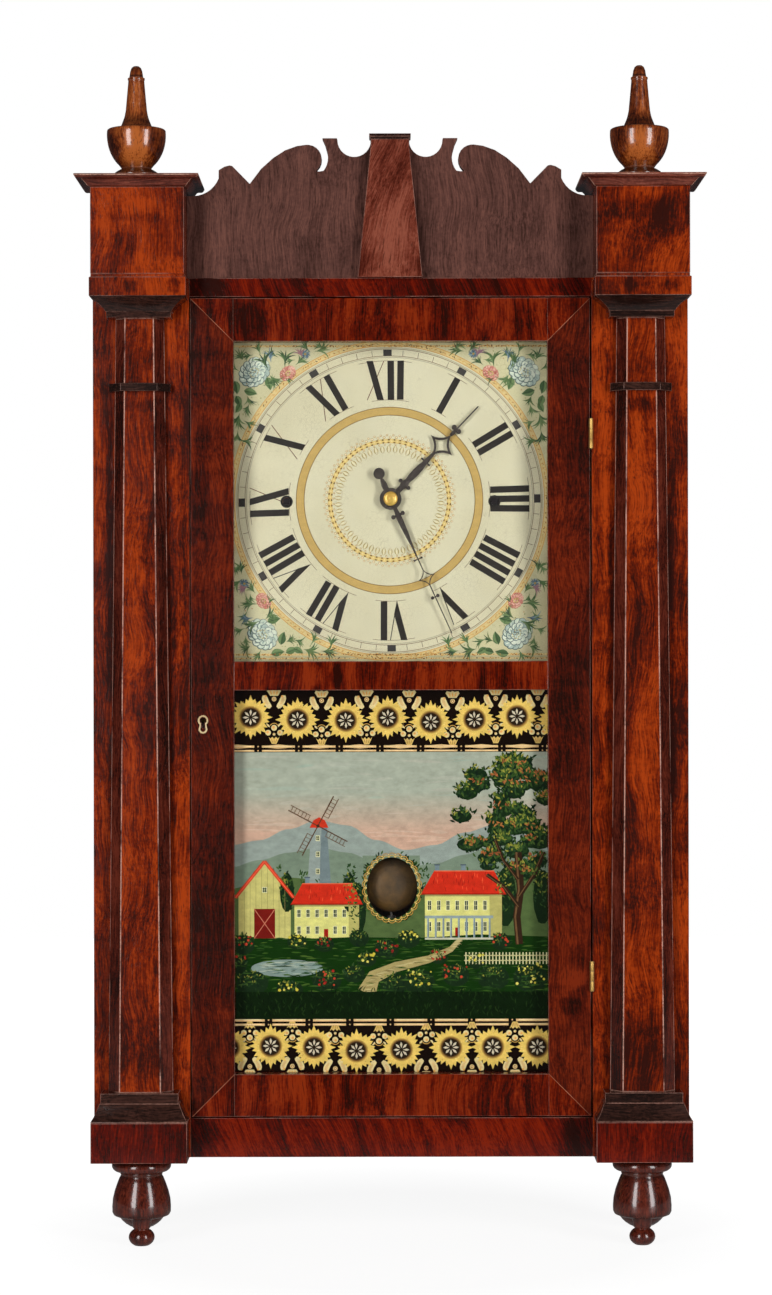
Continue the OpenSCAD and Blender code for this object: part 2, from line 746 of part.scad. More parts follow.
// Back uprights carry the movement, front strips hold the dial board
module inner_strips() color(pine) both_sides() {
    span_box([upright_x, y_out - 2, z_foot + deck_t], [upright_x + upright_w, y_board, z_top - deck_t]);
    difference() {
        span_box(
            [dial_half - strip_lap, y_inner, dial_z - dial_half_h - 6],
            [strip_out, y_dial_back + strip_ledge, dial_z + dial_half_h + 6]
        );
        span_box(
            [dial_half - strip_lap - over, y_inner - over, dial_z - dial_half_h - 6 - over],
            [stile_in, y_dial, dial_z + dial_half_h + 6 + over]
        );
        span_box(
            [dial_half - strip_lap - over, y_dial - over, dial_z - dial_half_h - dial_clear],
            [dial_half + dial_clear, y_dial_back, dial_z + dial_half_h + dial_clear]
        );
    }
}

hour_pipe_r = 4.4;
module dial_board() color("#d9d2b4") difference() {
    span_box([-dial_half, y_dial, dial_z - dial_half_h], [dial_half, y_dial_back, dial_z + dial_half_h]);
    rod(centre, hour_pipe_r + 0.8, y_dial - over, y_dial_back + over);
    both_sides() rod(time_drum_at, winding_hole_r, y_dial - over, y_dial_back + over);
}

plate_below = 92;
plate_above = 76;
plate_low = dial_z - plate_below;
plate_high = dial_z + plate_above;
winding_arbor_r = 3.5;
wheel_pipe_r = 5.5;
arbors = [time_second_at, time_third_at, pin_at, warning_at, fly_at, hammer_at];

module front_plate() color(oak) difference() {
    span_box([-plate_w/2, y_plate, plate_low], [plate_w/2, y_in, plate_high]);
    for (p = arbors) rod(p, pivot_r + run, y_plate - over, y_in + over);
    rod(centre, arbor_r + run, y_plate - over, y_in + over);
    rod(escape_at, arbor_r + run, y_plate - over, y_in + over);
    both_sides() rod(time_drum_at, wheel_pipe_r + run, y_plate - over, y_in + over);
}

module back_plate() color(oak) difference() {
    span_box([-plate_w/2, y_out, plate_low], [plate_w/2, y_plate_back, plate_high]);
    for (p = arbors) rod(p, pivot_r + run, y_out - over, y_plate_back + over);
    for (p = [centre, escape_at]) rod(p, pivot_r + run, y_out - over, y_plate_back + over);
    both_sides() rod(time_drum_at, arbor_r + run, y_out - over, y_plate_back + over);
}

pillar_r = 5;
pillar_in = 6;
high_pillar_in = 42;
module plate_pillars() color(oak) both_sides() {
    rod([plate_w/2 - pillar_in, plate_low + pillar_in], pillar_r, y_in, y_out);
    rod([plate_w/2 - high_pillar_in, plate_high - pillar_in - 2], pillar_r, y_in, y_out);
}

bell_cup = 22;
bell_crown = 19;
y_bell = y_out - 4;
post_r = 1.5;
bell_post_r = 3;
// Posts for the minute wheel, the verge with its pendulum, the count wheel and the bell
module steel_posts() color(steel) {
    rod(minute_at, pivot_r, y_dial_back + 0.8, y_plate);
    rod(verge_at, pivot_r, y_dial_back + 0.8, y_plate);
    rod(count_at, post_r, y_dial_back + 2, y_plate);
    rod(bell_at, bell_post_r, y_bell, y_board);
}

cheek_t = 2.5;
pulley_t = 6;
axle_r = 1.8;
// Two cheeks and an axle for each pulley, hung from the top board
module pulley_brackets() color(iron) both_sides() {
    for (y = [y_cord - pulley_t/2 - cheek_t - 0.5, y_cord + pulley_t/2 + 0.5])
        span_box(
            [pulley_at[0] - 6, y, pulley_at[1] - 6], [pulley_at[0] + 6, y + cheek_t, z_top - deck_t]
        );
    rod(pulley_at, axle_r, y_cord - pulley_t/2 - 1, y_cord + pulley_t/2 + 1);
}

module bell() color("#b08d4a") translate([bell_at[0], y_bell, bell_at[1]]) rotate([90, 0, 0])
    rotate_extrude() polygon(concat(
        [[0, 0], [9, 0]],
        arc([bell_r - 22, bell_crown], bell_crown, -80, -8, 8),
        [[bell_r - 2, bell_cup - 1], [bell_r, bell_cup], [bell_r - 2.4, bell_cup]],
        arc([bell_r - 22, bell_crown + 0.5], bell_crown - 2.2, -6, -80, 8),
        [[9, 3], [0, 3]]
    ));

// The fixed part of a cord: the straight run and its wrap over the pulley
module cord_runs() color("#8a7a5c") both_sides() {
    translate([cord_from[0], y_cord, cord_from[1]]) rotate([0, 90 - cord_slope, 0])
        cylinder(r = cord_r, h = norm(cord_to - cord_from), $fn = 16);
    translate([pulley_at[0], y_cord, pulley_at[1]]) rotate([90, 0, 0])
        rotate_extrude(angle = cord_normal) translate([pulley_r, 0]) circle(cord_r, $fn = 16);
}

// Hands, drawn pointing to twelve

boss_r = 5.6;
hub_r = 8.8;
hour_angle = 43.6;
minute_angle = 155.6;
y_hour_hand = y_dial - 3.4;
y_minute_hand = y_hour_hand - 2.8;

// A cross bar at height z with a ball of radius r at w to each side
module ball_bar(z, w, r, bar) {
    translate([-w, z - bar/2]) square([2*w, bar]);
    for (x = [-w, w]) translate([x, z]) circle(r, $fn = 24);
}
// Outline of a lozenge round height z, long and wide to each side, its sides hollowed by a share
function lozenge(z, long, wide, share) = let(
    tips = [[0, z - long], [wide, z], [0, z + long], [-wide, z]]
) [for (k = [0:3], i = [0:7]) let(
    t = i/8,
    p = tips[k],
    q = tips[(k + 1)%4],
    m = (p + q)/2*(1 - share) + [0, z]*share
) (1 - t)*(1 - t)*p + 2*t*(1 - t)*m + t*t*q];
module open_lozenge(z, long, wide, opening, share) difference() {
    polygon(lozenge(z, long, wide, lozenge_hollow));
    polygon(lozenge(z, long*opening, wide*opening, share));
}
lozenge_hollow = 0.59;
function both(points) = concat(points, flip(points));

module minute_hand() color(iron)
    translate([0, 0, dial_z]) rotate([0, minute_angle, 0]) translate([0, 0, -dial_z])
    slab(y_minute_hand, y_minute_hand + hand_t) translate(centre) difference() {
        union() {
            circle(hub_r);
            ball_bar(14.6, 4.15, 1.75, 1.9);
            polygon(both([
                [1.8, 6], [1.7, 11], [2.2, 14], [2.35, 17.5], [1.9, 30], [0.95, 41.6],
                [0.5, 52], [0.45, 63.2]
            ]));
            ball_bar(53.6, 3.1, 0.85, 0.9);
            open_lozenge(69.9, 7.7, 7.6, 0.73, 0.5);
            ball_bar(86.9, 2.3, 1.4, 0.9);
            polygon(both([[0.5, 76.4], [0.45, 90], [0.4, minute_len]]));
            polygon(both([[2.2, -7], [2.5, -12.5], [1.6, -16.5], [0.8, -18.6]]));
            translate([0, -22.3]) circle(4.6);
        }
        circle(cannon_pipe_r + 0.2);
    }

module hour_hand() color(iron)
    translate([0, 0, dial_z]) rotate([0, hour_angle, 0]) translate([0, 0, -dial_z])
    slab(y_hour_hand, y_hour_hand + hand_t) translate(centre) difference() {
        union() {
            circle(hub_r);
            ball_bar(16.3, 4.3, 1.65, 2);
            polygon(both([
                [2.3, 6], [2.2, 13], [3.2, 15.4], [3, 17.4], [2.1, 20], [2.8, 25], [3, 29],
                [2.7, 35], [2, 39.4], [2.1, 42.4], [1.7, 45], [1.3, 50.5]
            ]));
            ball_bar(41.1, 3.9, 0.8, 1.4);
            open_lozenge(59.7, 12.1, 12.1, 0.6, 0.39);
            ball_bar(77.3, 2.5, 2.05, 1.6);
            polygon(both([[1.2, 70.5], [1.6, 73.5], [1.1, 76], [0.65, 79], [0.5, hour_len]]));
        }
        circle(hour_pipe_r - 1.2 + run);
    }

// Motion work

cannon_pipe_r = 3;
hour_bore = cannon_pipe_r + run;
y_cannon = y_plate - 3;
y_hour_wheel = y_dial_back + 1.5;
hour_wheel_t = 2;
y_cannon_top = y_plate - 1;

// Centre arbor with its pinion, centre wheel and cannon pinion, and the boss in front of the hands
module centre_wheel() color(cherry) union() {
    rod(centre, pivot_r, y_out - 0.5, y_out + 5);
    rod(centre, arbor_r, y_cannon, y_out - 0.5);
    rod(centre, cannon_pipe_r, y_minute_hand - 0.8, y_cannon_top);
    gear(centre, cannon_n, cannon_m, bearing(centre, minute_at), y_cannon, y_cannon_top);
    gear(
        centre, centre_pinion_n, great_m, bearing(time_second_at, centre) + 180 + 180/centre_pinion_n,
        y_second - pinion_lap, y_second + second_t + pinion_lap
    );
    gear(
        centre, centre_n, train_m, bearing(centre, time_third_at),
        y_centre_wheel, y_centre_wheel + wheel_t
    );
    rod(centre, boss_r, y_minute_hand - 2, y_minute_hand - 0.05);
}

module minute_wheel() color(cherry) difference() {
    union() {
        gear(
            minute_at, minute_n, cannon_m, bearing(centre, minute_at) + 180 + 180/minute_n,
            y_cannon, y_cannon_top
        );
        gear(
            minute_at, minute_pinion_n, hour_m, bearing(minute_at, centre),
            y_hour_wheel - pinion_lap, y_hour_wheel + hour_wheel_t + pinion_lap
        );
        rod(minute_at, 3.4, y_hour_wheel + 2, y_cannon_top);
    }
    rod(minute_at, pivot_r + run, y_dial_back, y_plate + over);
}

module hour_wheel() color(cherry) difference() {
    union() {
        gear(
            centre, hour_n, hour_m, bearing(minute_at, centre) + 180 + 180/hour_n,
            y_hour_wheel, y_hour_wheel + hour_wheel_t
        );
        rod(centre, hour_pipe_r, y_hour_hand + hand_t, y_hour_wheel + 1);
        rod(centre, hour_pipe_r - 1.2, y_hour_hand - 0.2, y_hour_hand + hand_t);
    }
    rod(centre, hour_bore, y_minute_hand - 5, y_plate);
}

// Going train

flange_r = 21.5;
y_drum0 = y_in + drum_in;
y_drum1 = y_drum0 + drum_len;
flange_t = 2;

// A drum on its winding arbor, whose front end is the winding square, with the cord it holds
module drum(p) {
    rod(p, flange_r, y_drum0, y_drum0 + flange_t);
    rod(p, flange_r, y_drum1 - flange_t, y_drum1);
    rod(p, drum_r, y_drum0, y_drum1);
    rod(p, winding_arbor_r, y_dial_back + 0.5, y_out - 0.5);
    rod(p, arbor_r, y_out - 0.5, y_out + 5);
    translate([p[0] - winding_square/2, y_dial - 2, p[1] - winding_square/2])
        cube([winding_square, dial_t + 3, winding_square]);
}
module time_drum() color(cherry) drum(time_drum_at);
module strike_drum() color(cherry) drum(strike_drum_at);

// A great wheel with its pipe round the winding arbor, from y0 through the front plate
module great_wheel(p, q, y0) difference() {
    union() {
        gear(p, great_n, great_m, bearing(p, q), y_great, y_great + great_t);
        rod(p, wheel_pipe_r, y0, y_great + great_t);
        if (y0 < y_plate - 2) gear(
            p, count_pinion_n, count_m, bearing(p, count_at), y_count - pinion_lap, y_plate - 1
        );
    }
    rod(p, winding_arbor_r + run, y_dial_back, y_out);
}
module time_great_wheel() color(cherry) great_wheel(time_drum_at, time_second_at, y_plate - 1);
module strike_great_wheel() color(cherry) great_wheel(strike_drum_at, pin_at, y_count - pinion_lap);

// An arbor between the plates with its two pivots
module arbor(p) {
    rod(p, pivot_r, y_in - 5, y_out + 5);
    rod(p, arbor_r, y_in + 0.5, y_out - 0.5);
}

module time_second_wheel() color(cherry) union() {
    arbor(time_second_at);
    gear(
        time_second_at, second_pinion_n, great_m,
        bearing(time_drum_at, time_second_at) + 180 + 180/second_pinion_n,
        y_great - pinion_lap, y_great + great_t + pinion_lap
    );
    gear(
        time_second_at, second_n, great_m, bearing(time_second_at, centre),
        y_second, y_second + second_t
    );
}

module time_third_wheel() color(cherry) union() {
    arbor(time_third_at);
    gear(
        time_third_at, train_pinion_n, train_m,
        bearing(centre, time_third_at) + 180 + 180/train_pinion_n,
        y_centre_wheel - pinion_over, y_centre_wheel + wheel_t + pinion_over
    );
    gear(
        time_third_at, third_n, train_m, bearing(time_third_at, escape_at),
        y_third, y_third + wheel_t
    );
}

escape_tooth = 3.6;
y_escape = y_plate - 3.3;
escape_t = 2;
// Escape wheel with pointed teeth in front of the front plate
module escape_wheel() color(cherry) union() {
    rod(escape_at, arbor_r, y_escape, y_out - 0.5);
    rod(escape_at, pivot_r, y_out - 0.5, y_out + 5);
    gear(
        escape_at, train_pinion_n, train_m,
        bearing(time_third_at, escape_at) + 180 + 180/train_pinion_n,
        y_third - pinion_over, y_third + wheel_t + pinion_over
    );
    slab(y_escape, y_escape + escape_t) translate(escape_at) polygon([
        for (i = [0:escape_n - 1], k = [0, 1]) let(a = 360*(i + (k == 1 ? 0.3 : 0))/escape_n)
            (k == 0 ? escape_r : escape_r - escape_tooth)*[cos(a), sin(a)]
    ]);
}

pallet_lift = 2;
verge_arch = 3;
pallet_a = 41;
// Strip verge over the escape wheel, on its hub, with the crutch that drives the pendulum
module verge() color(steel) difference() {
    union() {
        slab(y_escape - 0.2, y_escape + 1.8) translate(escape_at) polygon(concat(
            arc([0, 0], escape_r + pallet_lift + verge_arch, 90 - pallet_a, 90 + pallet_a, 16),
            [(escape_r + pallet_lift)*[cos(90 + pallet_a + 2), sin(90 + pallet_a + 2)]],
            arc([0, 0], escape_r + pallet_lift + verge_arch - 1.4, 90 + pallet_a - 3, 90 - pallet_a + 3, 16),
            [(escape_r + pallet_lift)*[cos(90 - pallet_a - 2), sin(90 - pallet_a - 2)]]
        ));
        rod(verge_at, 3, y_pendulum + 1.1, y_escape + 1.8);
        span_box(
            [-0.8, y_escape, escape_at[1] + escape_r + pallet_lift + verge_arch - 1],
            [0.8, y_escape + 1.6, verge_at[1] - 2]
        );
        for (x = [-2.6, 1.4])
            span_box([x, y_pendulum + 1.1, verge_at[1] - 24], [x + 1.2, y_pendulum + 2.1, verge_at[1] - 1]);
        for (x = [-2.6, 1.4])
            span_box([x, y_pendulum - 1, verge_at[1] - 24], [x + 1.2, y_pendulum + 1.6, verge_at[1] - 21]);
    }
    rod(verge_at, pivot_r + run, y_dial_back, y_plate + over);
}

wire_r = 0.9;
bob_t = 7;
bob_rim = 0.8;
module pendulum_rod() color(steel) difference() {
    union() {
        rod(verge_at, 2.6, y_pendulum - 0.8, y_pendulum + 0.8);
        translate([0, y_pendulum, bob_z - bob_r - 8]) cylinder(r = wire_r, h = pendulum_len + bob_r + 6);
        translate([0, y_pendulum, bob_z - bob_r - 6]) cylinder(r = 3.4, h = 3);
        for (z = [-12, 12]) span_box(
            [-2.5, y_pendulum - wire_r, bob_z + z - 2], [2.5, y_pendulum, bob_z + z + 2]
        );
    }
    rod(verge_at, pivot_r + run, y_pendulum - 3, y_pendulum + 3);
}

// The bob is a domed disc held in front of the wire by two clips
module pendulum_bob() color(brass) translate([0, y_pendulum - wire_r, bob_z]) rotate([90, 0, 0])
    rotate_extrude() polygon(concat(
        [[0, 0], [bob_r - 1, 0], [bob_r, bob_rim/2], [bob_r, bob_rim]],
        [for (i = [1:7]) [bob_r*cos(90*i/8), bob_rim + (bob_t - bob_rim)*sin(90*i/8)]],
        [[0, bob_t]]
    ));

// Weights and pulleys, each drawn on the right side

module weight() {
    translate([weight_x, y_cord, weight_top - weight_h]) difference() {
        cylinder(r = weight_r, h = weight_h);
        translate([0, 0, -0.01]) difference() {
            cylinder(r = weight_r + 1, h = 1.5);
            translate([0, 0, -1]) cylinder(r = weight_r - 1.5, h = 3);
        }
    }
    translate([weight_x, y_cord, weight_top]) cylinder(r = 4, h = 4);
    translate([weight_x, y_cord, weight_top]) cylinder(r = 1.5, h = weight_hook_z - weight_top);
}
module cord_drop() translate([weight_x, y_cord, weight_hook_z])
    cylinder(r = cord_r, h = pulley_at[1] - weight_hook_z, $fn = 16);
module pulley() difference() {
    translate([pulley_at[0], y_cord, pulley_at[1]]) rotate([90, 0, 0]) rotate_extrude() polygon([
        [0, -pulley_t/2], [pulley_r + 1.4, -pulley_t/2], [pulley_r - cord_r - 0.1, -1],
        [pulley_r - cord_r - 0.1, 1], [pulley_r + 1.4, pulley_t/2], [0, pulley_t/2]
    ]);
    rod(pulley_at, axle_r + run, y_cord - pulley_t, y_cord + pulley_t);
}

module time_weight() color(iron) weight();
module strike_weight() color(iron) mirror([1, 0, 0]) weight();
module time_cord_drop() color("#8a7a5c") cord_drop();
module strike_cord_drop() color("#8a7a5c") mirror([1, 0, 0]) cord_drop();
module time_pulley() color(oak) pulley();
module strike_pulley() color(oak) mirror([1, 0, 0]) pulley();

// Strike train

pin_count = 14;
pin_circle = 18;
lift_pin_r = 0.8;
lift_pin_h = 3;
module strike_pin_wheel() color(cherry) union() {
    arbor(pin_at);
    gear(
        pin_at, second_pinion_n, great_m,
        bearing(strike_drum_at, pin_at) + 180 + 180/second_pinion_n,
        y_great - pinion_lap, y_great + great_t + pinion_lap
    );
    gear(pin_at, pin_wheel_n, train_m, bearing(pin_at, warning_at), y_second, y_second + second_t);
    for (i = [0:pin_count - 1]) rod(
        pin_at + pin_circle*[cos(360*i/pin_count), sin(360*i/pin_count)],
        lift_pin_r, y_second - lift_pin_h, y_second + second_t/2
    );
}

module strike_warning_wheel() color(cherry) union() {
    arbor(warning_at);
    gear(
        warning_at, train_pinion_n, train_m,
        bearing(pin_at, warning_at) + 180 + 180/train_pinion_n,
        y_second - pinion_lap, y_second + second_t + pinion_lap
    );
    gear(warning_at, warning_n, train_m, bearing(warning_at, fly_at), y_third, y_third + wheel_t);
}

fly_vane = 13;
vane_t = 1.6;
module strike_fly() color(cherry) union() {
    arbor(fly_at);
    gear(
        fly_at, train_pinion_n, train_m,
        bearing(warning_at, fly_at) + 180 + 180/train_pinion_n,
        y_third - pinion_over, y_third + wheel_t + pinion_over
    );
    span_box(
        [fly_at[0] - fly_vane, y_third + wheel_t + 2, fly_at[1] - vane_t/2],
        [fly_at[0] + fly_vane, y_out - 2, fly_at[1] + vane_t/2]
    );
}

count_r = 27;
notch_d = 3;
notch_w = 2.4;
disc_t = 1.8;
strikes = 78;
// Strikes given before the notch that follows hour h
function struck(h) = h*(h + 1)/2;
module count_wheel() color(cherry) difference() {
    union() {
        gear(
            count_at, count_n, count_m, bearing(strike_drum_at, count_at) + 180 + 180/count_n,
            y_count, y_count + count_t
        );
        rod(count_at, 4, y_count - 0.8, y_count + count_t);
        rod(count_at, count_r, y_count - 0.8 - disc_t, y_count - 0.8);
    }
    rod(count_at, post_r + run, y_dial_back, y_plate + over);
    for (h = [1:12]) translate([count_at[0], 0, count_at[1]]) rotate([0, 360*struck(h)/strikes, 0])
        translate([-notch_w/2, y_count - 4, count_r - notch_d]) cube([notch_w, 4, notch_d + over]);
}

hammer_x = bell_at[0] - bell_r - 10;
y_hammer = y_bell - 12;
head_r = 5;
head_h = 14;
hammer_wire = 0.9;
hammer_tail = [-58, dial_z - 15];
tail_dir = bearing(hammer_at, hammer_tail);
tail_t = 1.6;
module strike_hammer() color(steel) union() {
    arbor(hammer_at);
    translate([hammer_x, y_hammer, bell_at[1]]) cylinder(r = hammer_wire, h = hammer_at[1] - bell_at[1]);
    translate([hammer_x, y_hammer, bell_at[1] - 9]) cylinder(r = head_r, h = head_h);
    rod([hammer_x, hammer_at[1]], 2.6, y_hammer - 2, y_hammer + 2);
    translate([hammer_at[0], y_second - 2, hammer_at[1]]) rotate([0, 90 - tail_dir, 0])
        translate([-tail_t/2, -tail_t/2, 0]) cube([tail_t, tail_t, norm(hammer_tail - hammer_at)]);
}

backboard();
case_sides();
top_board();
bottom_board();
stiles();
case_rails();
base_blocks();
base_mouldings();
pilasters();
capital_mouldings();
capital_blocks();
cornices();
splat();
splat_keystone();
finials();
feet();
hinge_case_leaves();
inner_strips();
dial_board();
front_plate();
back_plate();
plate_pillars();
steel_posts();
pulley_brackets();
bell();
cord_runs();
door_stiles();
door_rails();
dial_glass();
tablet_glass();
escutcheon();
door_lock();
lock_bolt();
hinge_door_leaves();
minute_hand();
hour_hand();
centre_wheel();
hour_wheel();
minute_wheel();
time_drum();
time_great_wheel();
time_second_wheel();
time_third_wheel();
escape_wheel();
verge();
pendulum_rod();
pendulum_bob();
time_weight();
time_cord_drop();
time_pulley();
strike_drum();
strike_great_wheel();
strike_pin_wheel();
strike_warning_wheel();
strike_fly();
count_wheel();
strike_hammer();
strike_weight();
strike_cord_drop();
strike_pulley();
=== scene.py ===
# %% [markdown]
# A shelf clock with tapered pilasters, a cut-out splat and a glazed door.
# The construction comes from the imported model: every piece there keeps its place and its size.
# This lesson gives those pieces their finish: figured veneer with worn edges, a painted dial,
# a painted glass with stencilled borders, turned finials and a wooden movement with its cords.
# Lengths are written in millimetres and multiplied by MM where Blender needs metres.
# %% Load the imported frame
import math
import random

import bmesh
import bpy
from mathutils import Matrix, Vector


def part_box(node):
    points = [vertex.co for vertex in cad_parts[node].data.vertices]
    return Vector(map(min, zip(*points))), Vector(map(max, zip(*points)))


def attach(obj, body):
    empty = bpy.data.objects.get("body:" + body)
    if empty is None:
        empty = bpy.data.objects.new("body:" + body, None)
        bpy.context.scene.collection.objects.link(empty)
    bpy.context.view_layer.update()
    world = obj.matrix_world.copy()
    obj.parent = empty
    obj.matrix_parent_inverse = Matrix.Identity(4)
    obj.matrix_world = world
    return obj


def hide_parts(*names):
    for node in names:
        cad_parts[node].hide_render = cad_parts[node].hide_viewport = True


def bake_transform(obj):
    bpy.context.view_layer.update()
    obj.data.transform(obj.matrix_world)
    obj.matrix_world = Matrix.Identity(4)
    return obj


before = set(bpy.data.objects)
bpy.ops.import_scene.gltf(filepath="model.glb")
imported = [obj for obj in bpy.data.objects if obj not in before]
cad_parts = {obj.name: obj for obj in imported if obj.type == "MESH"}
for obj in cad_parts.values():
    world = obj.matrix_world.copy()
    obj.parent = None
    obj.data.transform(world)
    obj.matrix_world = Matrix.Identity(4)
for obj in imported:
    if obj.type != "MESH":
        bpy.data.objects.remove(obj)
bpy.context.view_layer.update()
MM = 0.001

# %% [markdown]
# Several steps share the same planes and heights: the face of the case, the dial, the edges of
# the two openings in the door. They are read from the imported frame, not typed again, so that
# the finish follows the construction. Glass reaches GLASS_LAP behind the door's frame all round.
# %% Planes and heights taken from the frame
def low(node):
    """Lowest corner of a node, in millimetres."""
    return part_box(node)[0] / MM


def high(node):
    """Highest corner of a node, in millimetres."""
    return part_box(node)[1] / MM


Y_FACE = low("stiles").y
Y_DIAL = low("dial_board").y
Y_GLASS_BACK = high("tablet_glass").y
GLASS_LAP = 4.2
SIGHT_HALF = high("dial_glass").x - GLASS_LAP
SIGHT_LOW = low("tablet_glass").z + GLASS_LAP
SIGHT_MID = high("tablet_glass").z - GLASS_LAP
DIAL_LOW = low("dial_glass").z + GLASS_LAP
DIAL_HIGH = high("dial_glass").z - GLASS_LAP
DIAL_Z = (low("hour_wheel").z + high("hour_wheel").z) / 2
BOB_Z = (low("pendulum_bob").z + high("pendulum_bob").z) / 2
print("face", Y_FACE, "dial", Y_DIAL, round(DIAL_Z, 1), "glass", round(SIGHT_HALF, 1), round(SIGHT_LOW, 1))

# %% [markdown]
# The photograph was taken from straight in front, from about half the clock's height.
# A long lens some 2.4 m away gives the same slight perspective: the blocks that stand in front
# of the stiles look a little larger. The focal length follows from PICTURE_TALL, the height of
# the picture in millimetres at the face of the stiles. The camera was held a little askew.
# %% Camera
CAMERA_X = -3.9
CAMERA_ROLL = 0.11
CAMERA_Z = 477
CAMERA_BACK = 2400
PICTURE_TALL = 1036
SENSOR = 36


def make_camera():
    data = bpy.data.cameras.new("camera")
    data.sensor_width = SENSOR
    data.lens = SENSOR * CAMERA_BACK / PICTURE_TALL
    camera = bpy.data.objects.new("camera", data)
    camera.location = Vector((CAMERA_X, Y_FACE - CAMERA_BACK, CAMERA_Z)) * MM
    camera.rotation_euler = (math.radians(90), math.radians(CAMERA_ROLL), 0)
    bpy.context.scene.collection.objects.link(camera)
    bpy.context.scene.camera = camera
    print("lens", round(data.lens, 1))


make_camera()
bpy.context.scene.view_settings.view_transform = "Standard"

# %% [markdown]
# Shader nodes are easier to read when one short call adds a node and joins its inputs.
# The Nodes class does that for a material, a world or a node group alike.
# Colours are written as the eight-bit values that a picture shows and turned linear here.
# %% Helpers for nodes
def tint(red, green, blue):
    """Linear colour of a display colour from 0 to 255."""
    def linear(v):
        v = v / 255
        return v / 12.92 if v <= 0.04045 else ((v + 0.055) / 1.055) ** 2.4
    return (linear(red), linear(green), linear(blue), 1)


class Nodes:
    """Adds nodes to a tree and joins them up."""

    def __init__(self, tree):
        self.tree = tree

    def add(self, kind, inputs=None, family="ShaderNode", **settings):
        node = self.tree.nodes.new(family + kind)
        for name, value in settings.items():
            setattr(node, name, value)
        for name, value in (inputs or {}).items():
            self.join(value, node.inputs[name])
        return node

    def grow(self, kind, inputs=None):
        """A node that makes or changes geometry."""
        return self.add(kind, inputs, "GeometryNode")

    def join(self, value, socket):
        if isinstance(value, bpy.types.NodeSocket):
            self.tree.links.new(value, socket)
        else:
            socket.default_value = value

    def math(self, operation, *values, clamp=False):
        node = self.add("Math", operation=operation, use_clamp=clamp)
        for value, socket in zip(values, node.inputs):
            self.join(value, socket)
        return node.outputs[0]

    def vector(self, operation, *values):
        node = self.add("VectorMath", operation=operation)
        for value, socket in zip(values, node.inputs):
            self.join(value, socket)
        return node.outputs["Value" if operation == "LENGTH" else "Vector"]

    def scaled(self, vector, x, y, z):
        return self.vector("MULTIPLY", vector, (x, y, z))

    def reach(self, u, v):
        """Length of a flat offset."""
        squares = self.math("ADD", self.math("MULTIPLY", u, u), self.math("MULTIPLY", v, v))
        return self.math("SQRT", squares)

    def noise(self, vector, scale, detail=2.0, rough=0.5):
        inputs = {"Vector": vector, "Scale": scale, "Detail": detail, "Roughness": rough}
        return self.add("TexNoise", inputs).outputs[0]

    def sway(self, noise, amount, base):
        """The base, raised or lowered as the noise lies above or below its middle."""
        return self.math("MULTIPLY_ADD", self.math("SUBTRACT", noise, 0.5), amount, base)

    def span(self, value, low_in, high_in, low_out=0.0, high_out=1.0):
        names = ("Value", "From Min", "From Max", "To Min", "To Max")
        node = self.add("MapRange", dict(zip(names, (value, low_in, high_in, low_out, high_out))))
        return node.outputs[0]

    def mix(self, share, first, second, blend="MIX"):
        node = self.add("Mix", data_type="RGBA", blend_type=blend)
        self.join(share, node.inputs["Factor"])
        colours = [s for s in node.inputs if s.type == "RGBA"]
        self.join(first, colours[0])
        self.join(second, colours[1])
        return [s for s in node.outputs if s.type == "RGBA"][0]

    def place(self, turn=(0, 0, 0)):
        """Object coordinates, turned by these angles in degrees."""
        where = self.add("TexCoord").outputs["Object"]
        if turn == (0, 0, 0):
            return where
        return self.add("Mapping", {"Vector": where, "Rotation": [math.radians(v) for v in turn]}).outputs[0]

    def group(self, tree, inputs):
        node = self.tree.nodes.new("ShaderNodeGroup")
        node.node_tree = tree
        for name, value in inputs.items():
            self.join(value, node.inputs[name])
        return node


def named_sockets(tree, inputs, outputs):
    """Gives a tree its named inputs, each with a usual value or None, and its named outputs."""
    for label, kind, value in inputs:
        socket = tree.interface.new_socket(name=label, in_out="INPUT", socket_type="NodeSocket" + kind)
        if value is not None:
            socket.default_value = value
    for label, kind in outputs:
        tree.interface.new_socket(name=label, in_out="OUTPUT", socket_type="NodeSocket" + kind)


def new_group(name, inputs, outputs):
    """A node group with named sockets, and a Nodes helper for its inside."""
    tree = bpy.data.node_groups.new(name, "ShaderNodeTree")
    named_sockets(tree, inputs, outputs)
    return tree, Nodes(tree), tree.nodes.new("NodeGroupInput").outputs, tree.nodes.new("NodeGroupOutput")


def new_material(name):
    """A new material, its Nodes helper and its Principled shader."""
    material = bpy.data.materials.new(name)
    material.use_nodes = True
    nodes = Nodes(material.node_tree)
    return material, nodes, material.node_tree.nodes["Principled BSDF"]


def two_shaders(material, nodes, share, usual, other):
    """Shows the usual shader, and the other one by this share."""
    both = nodes.add("MixShader", {0: share, 1: usual.outputs[0], 2: other.outputs[0]})
    nodes.join(both.outputs[0], material.node_tree.nodes["Material Output"].inputs["Surface"])


print("a middle grey turned linear", round(tint(128, 128, 128)[0], 3))


# %% [markdown]
# The picture has a bright white ground with hardly any shadow, and two tall soft lights:
# each turned bowl shows two upright highlights. The world is white to the camera and dark to
# every other ray, so that dark veneer and black paint stay deep and edges carry no pale rim.
# %% World, lights and floor
LIGHT_WIDE = 0.62
LIGHT_TALL = 1.7
LIGHT_Z = 0.75
LIGHT_AWAY = 2.3
LIGHT_WATTS = 33
WHITE = (1, 1, 1, 1)
FLOOR_GLOW = 1.14
FADE_FROM = 0.2
FADE_TO = 0.55


